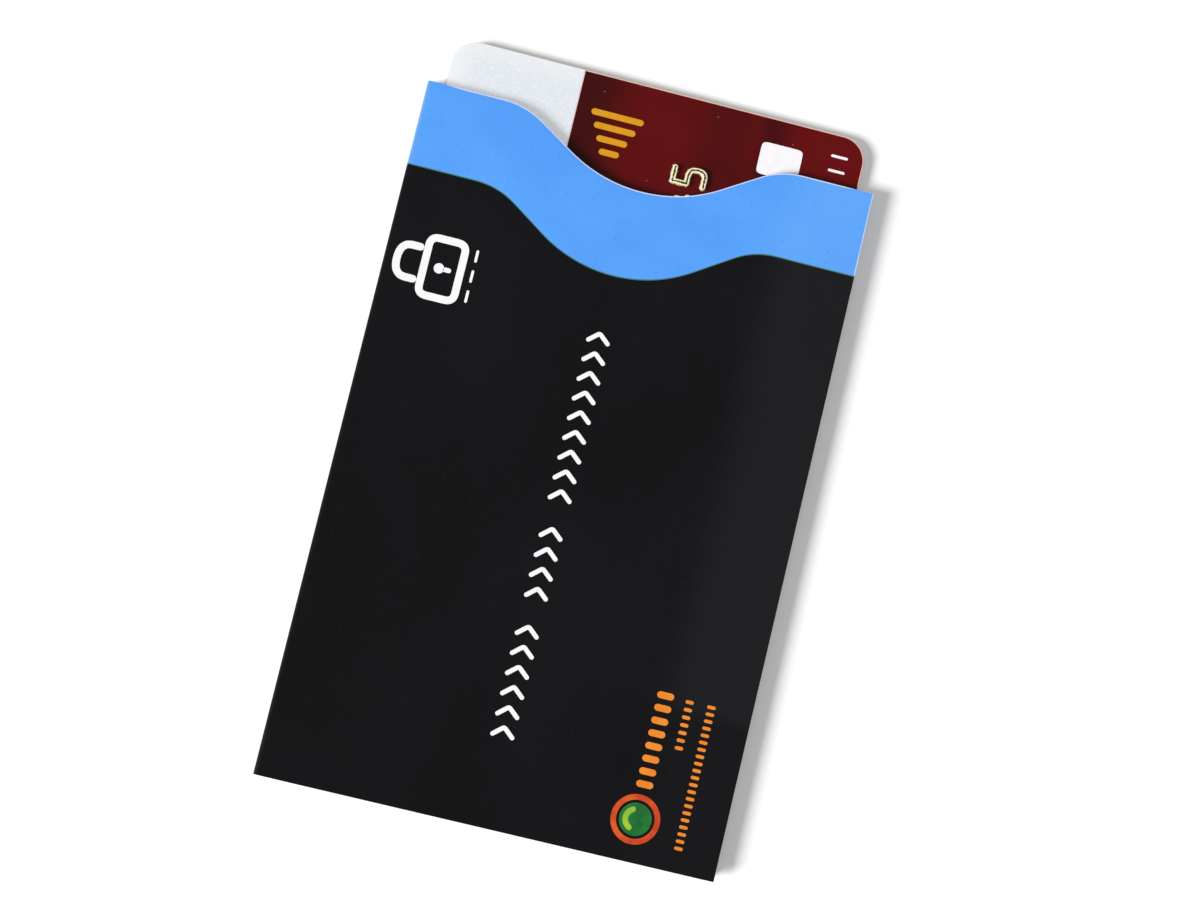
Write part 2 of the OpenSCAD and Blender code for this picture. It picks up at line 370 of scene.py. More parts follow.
@dataclass(frozen=True)
class Print(Ink):
    """Ink on board under a thin satin film, rubbed through to the board where the mesh says so.

    Attributes:
        fleck: colour of the tiny flecks of fibre and dust.
        fleck_share: how strongly the fibres show.
        fibre, fibre_from: size of the fibres, and the noise at which they begin and are full.
        dust: mean distance and radius of the specks of dust.
        dust_over: how much more strongly than the fibres they show.
        flap_sheen: a painted highlight, the ink's paler colour where the glue flap under it holds the front
            up.
            flap_sheen_x, flap_sheen_y, flap_sheen_z: where that painted highlight begins and is full along
                each axis.
            flap_sheen_share, flap_sheen_least: how strongly it shows, and the share of that left below
                flap_sheen_y.
        spine_shade: a painted shade, the ink's duller colour round the spine fold, dimming the flank the sun
            lights.
        spine_shade_x: where that painted shade begins and is full.
        spine_shade_share: how strongly it shows.
        bare: colour of the board where the ink is gone.
        ragged, ragged_by: size of the patches that make a worn edge ragged, and what they multiply it by.
    """

    specular: float = 0.06
    fleck: Colour = screen(200, 200, 200)
    fleck_share: float = 0.2
    fibre: Vec3 = (0.35, 0.5, 0.35)
    fibre_from: Vec2 = (0.6, 0.78)
    dust: Vec2 = (4.5, 0.09)
    dust_over: float = 2.5
    flap_sheen: Colour = screen(60, 60, 60)
    flap_sheen_x: Vec2 = (15.0, 22.0)
    flap_sheen_y: Vec2 = (-26.0, -23.5)
    flap_sheen_z: Vec2 = (1.2, 1.6)
    flap_sheen_share: float = 0.45
    flap_sheen_least: float = 0.1
    spine_shade: Colour = screen(10, 10, 11)
    spine_shade_x: Vec2 = (-28.45, -28.9)
    spine_shade_share: float = 0.5
    bare: Colour = screen(208, 204, 190)
    ragged: Vec3 = (0.25, 0.9, 0.25)
    ragged_by: Vec2 = (0.72, 1.15)

    def colours(self, shading: Shading) -> Socket:
        """The ink's colour, with flecks, and the board where the attribute "wear" nears 1.

        Args:
            shading: the material being built.

        Returns:
            The colour.
        """
        # Painted highlight: the ink turns paler on the front over the glue flap, where the front catches the
        # light.
        flap = shading.rise(shading.axis("X"), *self.flap_sheen_x, 0.0, self.flap_sheen_share)
        flap = shading.both(flap, shading.rise(shading.axis("Y"), *self.flap_sheen_y, self.flap_sheen_least, 1.0))
        flap = shading.both(flap, shading.rise(shading.axis("Z"), *self.flap_sheen_z))
        ink = shading.blend(flap, super().colours(shading), self.flap_sheen)
        # Painted shade: the ink turns duller round the spine fold, where the sun lights its flank.
        crease = shading.rise(shading.axis("X"), *self.spine_shade_x, 0.0, self.spine_shade_share)
        ink = shading.blend(crease, ink, self.spine_shade)
        fibres = shading.rise(shading.noise(self.fibre, 3.0, 3.0), *self.fibre_from, 0.0, self.fleck_share)
        dust = shading.both(shading.specks(*self.dust), min(1.0, self.dust_over * self.fleck_share))
        ink = shading.blend(fibres, ink, self.fleck)
        ink = shading.blend(dust, ink, self.fleck)
        ragged = shading.rise(shading.noise(self.ragged, 3.0, 7.0), *SPREAD, *self.ragged_by)
        worn = shading.both(shading.attribute("wear"), ragged)
        return shading.blend(shading.rise(worn, 0.0, 1.0), ink, self.bare)


@dataclass(frozen=True)
class CardInk(Finish):
    """Ink under the card's gloss film."""

    roughness: Vec2 = (0.18, 0.26)
    grain: float | Vec3 = 0.8
    grain_depth: float = 0.0012
    specular: float = 0.07


@dataclass(frozen=True)
class CardPrint(CardInk):
    """The card's face: a silver end with a fine sparkle, a thin pale line and a dark glossy field.

    Attributes:
        border_x: where the two meet, in millimetres.
        line_w, line: width and colour of the pale line.
        edge, metal_edge: over what width the colours change there, and the metal.
        silver, glint, flake: the silver, and its brightest and darkest flakes.
        glint_size, flake_size: sizes of those flakes.
        glint_from, flake_from: the noise at which they begin and are full.
        flake_share: how strongly the dark ones show.
        pale: a painted highlight, the silver's paler colour towards the card's left and far edges.
            silver_glare_x, silver_glare_y: where that painted highlight begins and is full along X and along
                Y.
        silver_glare_shares: how strongly it shows along X and along Y.
        deep: the dark field's colour beside the line.
        deep_x: where that colour begins to fade and is gone.
        clouds, clouds_share: size and strength of the field's clouds.
        clouds_from: the noise at which they begin and are full.
        reflection_bands: painted reflections, dim bands across the field, each with the X where it begins, is
            full, is last full and ends, and its strength.
        reflection_bands_y: where those painted reflections begin and are full along the card.
        dust, dust_share: mean distance and radius of the specks of dust, and how strongly they show.
    """

    border_x: float = -10.2
    line_w: float = 0.14
    line: Colour = screen(226, 200, 200)
    edge: float = 0.02
    metal_edge: float = 0.05
    silver: Colour = screen(227, 232, 237)
    glint: Colour = screen(243, 246, 249)
    flake: Colour = screen(210, 214, 219)
    glint_size: float = 0.24
    flake_size: float = 0.3
    glint_from: Vec2 = (0.5, 0.68)
    flake_from: Vec2 = (0.6, 0.75)
    flake_share: float = 0.35
    # The silver's paler colour towards the card's edges is a painted highlight.
    pale: Colour = screen(244, 246, 248)
    silver_glare_x: Vec2 = (-23.2, -26.9)
    silver_glare_y: Vec2 = (47.8, 50.8)
    silver_glare_shares: Vec2 = (0.8, 0.4)
    deep: Colour = screen(62, 8, 7)
    deep_x: Vec2 = (-8.5, -1.0)
    clouds: Vec3 = (7.0, 5.0, 7.0)
    clouds_share: float = 0.2
    clouds_from: Vec2 = (0.45, 0.72)
    reflection_bands: tuple[tuple[float, ...], ...] = (
        (-6.0, -2.0, 8.0, 20.0, 0.17), (3.0, 8.5, 11.0, 13.5, 0.42), (12.0, 14.5, 15.0, 18.5, 0.75),
    )
    reflection_bands_y: Vec2 = (28.0, 38.0)
    dust: Vec2 = (8.0, 0.1)
    dust_share: float = 0.25

    def _field(self, shading: Shading) -> Socket:
        """The dark field's colour.

        Args:
            shading: the material being built.

        Returns:
            The colour.
        """
        across = shading.axis("X")
        field = shading.blend(shading.rise(across, *self.deep_x), self.deep, self.colour)
        clouds = shading.rise(shading.noise(self.clouds, shift=2.0), *self.clouds_from)
        field = shading.blend(shading.both(clouds, self.clouds_share), field, self.drift)
        # Painted reflections: dim bands across the field near the card's far end.
        near_top = shading.rise(shading.axis("Y"), *self.reflection_bands_y)
        for begin, full, last, end, strength in self.reflection_bands:
            painted_reflection = shading.both(shading.rise(across, begin, full), shading.rise(across, end, last))
            painted_reflection = shading.both(painted_reflection, shading.both(near_top, strength))
            field = shading.blend(painted_reflection, field, self.drift)
        dust = shading.both(shading.specks(*self.dust, shift=1.5), self.dust_share)
        return shading.blend(dust, field, self.line)

    def _silver(self, shading: Shading) -> Socket:
        """The silver's colour.

        Args:
            shading: the material being built.

        Returns:
            The colour.
        """
        left_share, far_share = self.silver_glare_shares
        glints = shading.rise(shading.noise(self.glint_size, 3.0, 4.0), *self.glint_from)
        silver = shading.blend(glints, self.silver, self.glint)
        flakes = shading.noise(self.flake_size, 4.0, 8.0)
        flakes = shading.rise(flakes, *self.flake_from, 0.0, self.flake_share)
        silver = shading.blend(flakes, silver, self.flake)
        # Painted highlight: the silver turns paler towards the card's far and left edges.
        far = shading.rise(shading.axis("Y"), *self.silver_glare_y, 0.0, far_share)
        left = shading.rise(shading.axis("X"), *self.silver_glare_x, 0.0, left_share)
        return shading.blend(left, shading.blend(far, silver, self.pale), self.pale)

    def colours(self, shading: Shading) -> Socket:
        """The face's colour.

        Args:
            shading: the material being built.

        Returns:
            The colour.
        """
        across = shading.axis("X")
        line_x = self.border_x - self.line_w
        on_line = shading.rise(across, line_x - self.edge, line_x)
        on_field = shading.rise(across, self.border_x - self.edge, self.border_x)
        face = shading.blend(on_line, self._silver(shading), self.line)
        return shading.blend(on_field, face, self._field(shading))

    def metal(self, shading: Shading) -> Value:
        """The silver's share of metal, and none on the dark field."""
        full = self.border_x - self.metal_edge
        return shading.rise(shading.axis("X"), self.border_x, full, 0.0, self.metallic)


@dataclass(frozen=True)
class Rim(Finish):
    """The card's edge, which the dark ink has run into, and which is clean beside the silver.

    Attributes:
        clean: its colour beside the silver.
        border_x: where the silver ends, in millimetres.
        fade: over what width the edge changes there.
    """

    clean: Colour = screen(238, 239, 242)
    border_x: float = -10.2
    fade: float = 0.4

    def colours(self, shading: Shading) -> Socket:
        """The edge's colour, by its place across the card."""
        beside_ink = shading.rise(shading.axis("X"), self.border_x - self.fade, self.border_x)
        return shading.blend(beside_ink, self.clean, super().colours(shading))


@dataclass(frozen=True)
class Tipped(Finish):
    """Raised digits: the card's dark field on their sides and metal foil on their tops.

    Attributes:
        foil, hollow: the foil's colour at the rims, and along the middle where it lies flat.
        foil_edge: distance from a stroke's middle at which the foil ends, in millimetres.
        hollow_edge: distance at which the darker middle ends.
        fade: over what width each of the two ends.
        rub_size, rub: size of the patches that make these edges ragged, and by how much.
    """

    foil: Colour = screen(255, 246, 206)
    hollow: Colour = screen(78, 66, 22)
    foil_edge: float = 0.42
    hollow_edge: float = 0.12
    fade: Vec2 = (0.06, 0.05)
    rub_size: float = 0.4
    rub: float = 0.05

    def _off_line(self, shading: Shading) -> Socket:
        """The distance from a stroke's middle, which the mesh stores in "off_line", made a little ragged."""
        rub = shading.rise(shading.noise(self.rub_size, 3.0, 6.0), *SPREAD, -self.rub, self.rub)
        return shading.reckon("ADD", shading.attribute("off_line"), rub)

    def _tipped(self, shading: Shading) -> Socket:
        """1 on the foil and 0 beside it."""
        return shading.rise(self._off_line(shading), self.foil_edge, self.foil_edge - self.fade[0])

    def colours(self, shading: Shading) -> Socket:
        """The foil's colour over the sides' colour.

        Args:
            shading: the material being built.

        Returns:
            The colour.
        """
        begins, full = (self.hollow_edge + side * self.fade[1] for side in (-1, 1))
        rims = shading.rise(self._off_line(shading), begins, full)
        foil = shading.blend(rims, self.hollow, self.foil)
        return shading.blend(self._tipped(shading), super().colours(shading), foil)

    def gloss(self, shading: Shading) -> Socket:
        """The lowest roughness on the foil and the highest beside it."""
        return shading.rise(self._tipped(shading), 0.0, 1.0, self.roughness[1], self.roughness[0])

    def metal(self, shading: Shading) -> Value:
        """The foil's share of metal, and none beside it."""
        return shading.both(self._tipped(shading), self.metallic)


@dataclass(frozen=True)
class Ruled(Finish):
    """A writable strip with fine slanting rules.

    Attributes:
        rule: colour of the rules.
        pitch: distance between them in millimetres.
        rule_w: where a rule ends and where it is full, as shares of the pitch.
    """

    rule: Colour = screen(196, 202, 214)
    pitch: float = 0.9
    rule_w: Vec2 = (0.2, 0.1)

    def colours(self, shading: Shading) -> Socket:
        """The strip's colour, with a rule wherever X and Y together pass a multiple of the pitch.

        Args:
            shading: the material being built.

        Returns:
            The colour.
        """
        slant = shading.reckon("ADD", shading.axis("X"), shading.axis("Y"))
        past = shading.reckon("WRAP", shading.both(slant, 1 / self.pitch), 1.0)
        return shading.blend(shading.rise(past, *self.rule_w), super().colours(shading), self.rule)


# Each ink's paler colour over the glue flap is a painted highlight.
BLACK_INK = Print(
    "black_ink", screen(11, 11, 13), screen(17, 17, 20), blotch=(18.0, 34.0, 18.0), roughness=(0.3, 0.4),
    fleck=screen(74, 74, 78), fleck_share=0.07, flap_sheen=screen(36, 35, 39),
)
# The blue's duller colour round the spine fold is a painted shade.
BLUE_INK = Print(
    "blue_ink", screen(86, 159, 250), screen(94, 167, 253), blotch=(12.0, 9.0, 12.0), roughness=(0.34, 0.46),
    fleck=screen(58, 126, 226), fleck_share=0.45, flap_sheen=screen(104, 172, 250), spine_shade=screen(104, 118, 140),
)
BORDER_INK = Print(
    "border_ink", screen(62, 108, 98), screen(84, 130, 124), grain=0.3, grain_depth=0.004,
    fleck=screen(80, 140, 120), flap_sheen=screen(84, 130, 124),
)
BARE_BOARD = Finish(
    "bare_board", screen(214, 224, 252), screen(202, 213, 246), blotch=(0.8, 2.0, 0.8), roughness=(0.75, 0.9),
    grain=(0.1, 0.4, 0.1), grain_depth=0.012, specular=0.2,
)
AGED_BOARD = Finish(
    "aged_board", screen(204, 198, 172), screen(166, 158, 128), blotch=(0.8, 3.0, 0.8), roughness=(0.75, 0.9),
    grain=(0.1, 0.4, 0.1), grain_depth=0.012, specular=0.2,
)
FOIL = Finish(
    "rolled_foil", screen(196, 199, 204), screen(222, 224, 228), blotch=(0.3, 9.0, 0.3),
    roughness=(0.22, 0.36), grain=(0.12, 6.0, 0.12), grain_depth=0.003, metallic=1.0, specular=0.5,
)
LINER = Finish(
    "liner_film", screen(232, 234, 238), screen(216, 219, 224), blotch=3.0, roughness=(0.45, 0.6),
    grain=0.6, grain_depth=0.003,
)
GLUE = Finish(
    "dried_glue", screen(226, 214, 172), screen(206, 190, 142), blotch=1.6, roughness=(0.35, 0.55),
    grain=0.5, grain_depth=0.01,
)
WHITE_INK = Ink("white_ink", screen(254, 254, 255), screen(248, 248, 250), blotch=1.2)
ORANGE_INK = Ink("orange_ink", screen(243, 146, 52), screen(236, 134, 44), blotch=1.5)
RED_INK = Ink("red_ink", screen(196, 62, 34), screen(222, 96, 40), blotch=1.5)
LIME_INK = Ink("lime_ink", screen(168, 204, 62), screen(140, 188, 60), blotch=1.2)
GREEN_INK = Ink("green_ink", screen(28, 96, 48), screen(44, 122, 54), blotch=2.2)
CARD_FACE = CardPrint("card_face", screen(100, 9, 11), screen(54, 6, 7), roughness=(0.16, 0.24), metallic=0.5)
CARD_ORANGE = CardInk("card_orange", screen(224, 158, 32), screen(218, 150, 28), blotch=1.0)
CARD_WHITE = CardInk("card_white", screen(254, 252, 254), screen(248, 245, 250), blotch=1.2)
CARD_EDGE = Rim(
    "card_edge", screen(253, 208, 186), screen(244, 194, 168), blotch=1.4, roughness=(0.4, 0.55),
    grain=(0.3, 0.3, 0.06), grain_depth=0.006, specular=0.3,
)
CARD_CORE = Finish(
    "card_core", screen(226, 214, 204), screen(214, 200, 190), blotch=2.0, roughness=(0.45, 0.6),
    grain=(0.3, 0.3, 0.06), grain_depth=0.006, specular=0.3,
)
CARD_BACK = Finish(
    "card_back", screen(200, 205, 211), screen(212, 216, 222), blotch=0.5, roughness=(0.2, 0.3),
    grain=0.6, grain_depth=0.0015, metallic=0.15,
)
DIGIT_TIPS = Tipped(
    "tipped_digits", screen(88, 12, 14), screen(62, 8, 10), roughness=(0.2, 0.26), grain=0.25, metallic=0.6,
    specular=0.2,
)
PLATED_GOLD = Finish(
    "plated_gold", screen(214, 176, 98), screen(228, 194, 124), blotch=(2.5, 0.4, 2.5), roughness=(0.2, 0.34),
    grain=(0.8, 0.08, 0.8), grain_depth=0.002, metallic=1.0, specular=0.5,
)
ETCHED_COPPER = Finish(
    "etched_copper", screen(200, 122, 76), screen(178, 100, 60), blotch=1.2, roughness=(0.3, 0.45),
    grain=0.15, metallic=1.0, specular=0.5,
)
CARRIER_TAPE = Finish(
    "carrier_tape", screen(60, 74, 50), screen(74, 88, 60), blotch=(0.4, 1.2, 0.4), roughness=(0.5, 0.65),
    grain=(0.12, 0.5, 0.12), grain_depth=0.006,
)
MOULDED_RESIN = Finish(
    "moulded_resin", screen(24, 24, 26), screen(36, 36, 38), blotch=1.0, roughness=(0.5, 0.7),
    grain=0.12, grain_depth=0.008,
)
STRIPE_COAT = Finish(
    "stripe_coat", screen(34, 27, 24), screen(46, 38, 33), blotch=(0.8, 14.0, 0.8), roughness=(0.3, 0.42),
    grain=(0.12, 6.0, 0.12), grain_depth=0.0015,
)
SIGNATURE = Ruled(
    "signature_film", screen(244, 244, 240), screen(234, 234, 230), blotch=2.0, roughness=(0.7, 0.85),
    grain=0.15, grain_depth=0.006, specular=0.2,
)


@cache
def material_of(finish: Finish) -> bpy.types.Material:
    """The finish's material, built on first use."""
    return finish.material()


# Meshes


@dataclass
class Faces:
    """Faces with the same number of corners, and the finish of each.

    Attributes:
        corners: the vertices of each face, one row a face.
        finishes: an index into the piece's finishes for each face.
    """

    corners: np.ndarray
    finishes: np.ndarray


@dataclass
class Shell:
    """A closed surface, before it becomes part of a piece's mesh.

    Attributes:
        points: its vertices in millimetres.
        faces: its faces.
        values: a number at each vertex, for the finish to read.
    """

    points: np.ndarray
    faces: list[Faces]
    values: np.ndarray | None = None


def numbers(rows: int, columns: int) -> np.ndarray:
    """The numbers of a grid's vertices, row by row."""
    return np.arange(rows * columns).reshape(rows, columns)


def grid_faces(number: np.ndarray) -> np.ndarray:
    """The four-cornered faces of a grid of numbered vertices, one row of four a face."""
    corners = [number[:-1, :-1], number[:-1, 1:], number[1:, 1:], number[1:, :-1]]
    return np.stack([c.ravel() for c in corners], axis=1)


def edge_faces(rim: np.ndarray, other: np.ndarray) -> np.ndarray:
    """The faces of a strip between two lines of vertices, point by point."""
    return np.stack([rim[:-1], other[:-1], other[1:], rim[1:]], axis=1)


def slab(
    outer: np.ndarray, inner: np.ndarray, finishes: np.ndarray | int = 0, rest: int = 0,
    values: np.ndarray | None = None, ring: bool = False,
) -> Shell:
    """A sheet between two grids of points, closed round its edges by strips from one to the other.

    Args:
        outer, inner: the two grids, rows by columns by 3.
        finishes: the finish of each face of the outer grid, or one for them all.
        rest: the finish of the inner grid and of the edges.
        values: a number at each point of the outer grid. The inner grid gets nought.
        ring: True if the last row meets the first, so that those two edges stay open.

    Returns:
        The closed shell.
    """
    number = numbers(*outer.shape[:2])
    count = number.size
    if ring:
        number = np.vstack([number, number[:1]])
        lines = [number[:, 0], number[:, -1]]
    else:
        lines = [number[0], number[:, -1], number[-1], number[:, 0]]
    front = grid_faces(number)
    edges = np.vstack([edge_faces(line, line + count) for line in lines])
    return Shell(
        np.vstack([outer.reshape(-1, 3), inner.reshape(-1, 3)]),
        [
            Faces(front, np.ravel(finishes) + np.zeros(len(front), int)),
            Faces(front[:, ::-1] + count, np.full(len(front), rest)),
            Faces(edges, np.full(len(edges), rest)),
        ],
        None if values is None else np.concatenate([values.ravel(), np.zeros(count)]),
    )


def make_piece(
    name: str, shells: Sequence[Shell], finishes: Sequence[Finish], body: Body,
    replaces: Sequence[str] = (), values_name: str = "", crease: float = 32.0,
) -> None:
    """Put closed shells into one object at the origin, with their faces pointing outwards, on its body.

    Args:
        name: the piece's name.
        shells: its shells.
        finishes: its finishes, in the order of the faces' own numbers.
        body: the body that it rides on.
        replaces: the CAD nodes that it stands for.
        values_name: name of the attribute that holds the shells' values, if they have any.
        crease: faces that meet at more than this angle in degrees keep a sharp edge.
    """
    starts = np.cumsum([0] + [len(s.points) for s in shells])
    blocks = [Faces(f.corners + start, f.finishes) for s, start in zip(shells, starts) for f in s.faces]
    sides = np.concatenate([np.full(len(b.corners), b.corners.shape[1]) for b in blocks])
    points = np.vstack([s.points for s in shells]) * MM
    corners = np.concatenate([b.corners.ravel() for b in blocks])
    finish_numbers = np.concatenate([b.finishes for b in blocks])
    mesh = bpy.data.meshes.new(name)
    mesh.vertices.add(len(points))
    mesh.vertices.foreach_set("co", points.astype(np.float32).ravel())
    mesh.loops.add(len(corners))
    mesh.loops.foreach_set("vertex_index", corners.astype(np.int32))
    mesh.polygons.add(len(sides))
    mesh.polygons.foreach_set("loop_start", (np.cumsum(sides) - sides).astype(np.int32))
    mesh.polygons.foreach_set("material_index", finish_numbers.astype(np.int32))
    mesh.update(calc_edges=True)
    shape = bmesh.new()
    shape.from_mesh(mesh)
    bmesh.ops.recalc_face_normals(shape, faces=shape.faces)
    shape.to_mesh(mesh)
    shape.free()
    mesh.polygons.foreach_set("use_smooth", np.ones(len(sides), bool))
    mesh.set_sharp_from_angle(angle=math.radians(crease))
    if values_name:
        attribute = mesh.attributes.new(values_name, "FLOAT", "POINT")
        attribute.data.foreach_set("value", np.concatenate([s.values for s in shells]).astype(np.float32))
    for finish in finishes:
        mesh.materials.append(material_of(finish))
    piece = bpy.data.objects.new(name, mesh)
    bpy.context.scene.collection.objects.link(piece)
    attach(piece, body.value)
    if replaces:
        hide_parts(*replaces)
    LOG.info("%s rides on %s, %d faces", name, body.value, len(sides))


def dress(nodes: dict[str, bpy.types.Object], name: str, finish: Finish) -> None:
    """Give a CAD node its material.

    Args:
        nodes: the CAD nodes.
        name: the node's name.
        finish: its finish.
    """
    mesh = nodes[name].data
    mesh.materials.clear()
    mesh.materials.append(material_of(finish))
    LOG.info("%s wears %s", name, finish.name)


def round_points(centre: Vec2, radius: float, start: float, end: float, steps: int) -> np.ndarray:
    """Points along part of a circle: the centre, plus the radius times the angle's cosine and sine.

    Args:
        centre, radius: the circle.
        start, end: angles in degrees.
        steps: number of stretches.

    Returns:
        One row a point.
    """
    angle = np.radians(np.linspace(start, end, steps + 1))
    return np.array(centre) + radius * np.stack([np.cos(angle), np.sin(angle)], axis=1)


def along(points: np.ndarray, share: np.ndarray) -> np.ndarray:
    """Points at even shares of a line's length.

    Args:
        points: the line's own points, one row each.
        share: from 0 at its start to 1 at its end.

    Returns:
        One row a share.
    """
    run = np.concatenate([[0], np.cumsum(np.linalg.norm(np.diff(points, axis=0), axis=1))])
    return np.stack([np.interp(share * run[-1], run, points[:, k]) for k in range(points.shape[1])], axis=1)


def rounded_line(
    points: Sequence[Vec2], radius: float | Sequence[float], closed: bool = False, steps: int = 8,
) -> np.ndarray:
    """A line whose corners are replaced by curves.

    Each curve is a parabola with the corner as its middle control point. It begins and ends at the
    radius from the corner, or half way to the next one if that is nearer.

    Args:
        points: the corners.
        radius: how far from a corner its curve begins, one for them all or one each.
        closed: True if the line ends where it began.
        steps: points on each curve.

    Returns:
        The line's points, one row each.
    """
    corners = np.array(points, float)
    count = len(corners)
    radii = np.broadcast_to(radius, count)
    t = np.linspace(0, 1, steps)[:, None]
    made = []
    for i, corner in enumerate(corners):
        if not closed and i in (0, count - 1):
            made.append(corner[None])
            continue
        ends = []
        for other in (corners[i - 1], corners[(i + 1) % count]):
            reach = np.linalg.norm(other - corner)
            ends.append(corner + (other - corner) * min(radii[i] / reach, 0.5))
        made.append((1 - t) ** 2 * ends[0] + 2 * t * (1 - t) * corner + t ** 2 * ends[1])
    if closed:
        made.append(made[0][:1])
    return np.vstack(made)


# The sleeve


@dataclass(frozen=True)
class Wave:
    """The mouth's wave: on each side a shoulder arc and a trough arc, joined by a straight stretch.

    Attributes:
        depth: how far the middle lies below the sides.
        middle: where the middle is along X.
        half: half the wave's width.
        steepness: the sides' angle, as a share of the steepest that the arcs allow.
        shoulder_share: share of the two radii that goes to the shoulders.
        start: how far the flat sides themselves lie below the mouth's corners.
    """

    depth: float = 7.1
    middle: float = 0.2
    half: float = 19.5
    steepness: float = 0.8
    shoulder_share: float = 0.35
    start: float = 0.0

    def drop(self, x: np.ndarray) -> np.ndarray:
        """How far the line lies below the mouth's corners.

        The steepest angle is twice the arc tangent of depth / half. The two radii together are
        (half sin a - depth cos a) / (1 - cos a) for the angle a. Each arc's height follows from
        its circle, and the straight stretch has the slope tan a.

        Args:
            x: places across the sleeve.

        Returns:
            The drop at each place.
        """
        angle = self.steepness * 2 * math.atan(self.depth / self.half)
        radii = (self.half * math.sin(angle) - self.depth * math.cos(angle)) / (1 - math.cos(angle))
        shoulder = self.shoulder_share * radii
        trough = radii - shoulder
        off = np.abs(np.asarray(x, float) - self.middle)
        from_side = np.clip(self.half - off, 0, None)
        shoulder_end = shoulder * math.sin(angle)
        trough_end = trough * math.sin(angle)
        on_shoulder = shoulder - np.sqrt(shoulder ** 2 - np.minimum(from_side, shoulder_end) ** 2)
        on_trough = self.depth - trough + np.sqrt(trough ** 2 - np.minimum(off, trough_end) ** 2)
        straight = shoulder * (1 - math.cos(angle)) + (from_side - shoulder_end) * math.tan(angle)
        level = np.select([off < trough_end, from_side < shoulder_end], [on_trough, on_shoulder], straight)
        return self.start + level


class Stretch(IntEnum):
    """The stretches of the sleeve's outline, from the side flap's free edge to the front's cut edge."""

    FLAP = 0
    SIDE_FOLD = 1
    BACK = 2
    SPINE = 3
    FRONT = 4


class BoardFace(IntEnum):
    """The board's finishes, by their place in BOARD_FINISHES."""

    BLACK = 0
    BORDER = 1
    BLUE = 2
    BARE = 3
    AGED = 4


BOARD_FINISHES = (BLACK_INK, BORDER_INK, BLUE_INK, BARE_BOARD, AGED_BOARD)


@dataclass(frozen=True)
class Layer:
    """One layer of the laminate.

    Attributes:
        name: the piece's name.
        top, bottom: its depths below the printed face.
        finishes: its finishes.
        slot: the record's slot for it; not used.
        nodes: the CAD nodes that it stands for.
    """

    name: str
    top: float
    bottom: float
    finishes: tuple[Finish, ...]
    slot: Slot
    nodes: tuple[str, ...]

    def dressed(self, outer: np.ndarray, inner: np.ndarray, faces: np.ndarray, wear: np.ndarray) -> Shell:
        """The slab between two grids: the board bare but for the faces given, another layer all alike."""
        if self.top:
            return slab(outer, inner, values=wear)
        return slab(outer, inner, faces, BoardFace.BARE, wear)


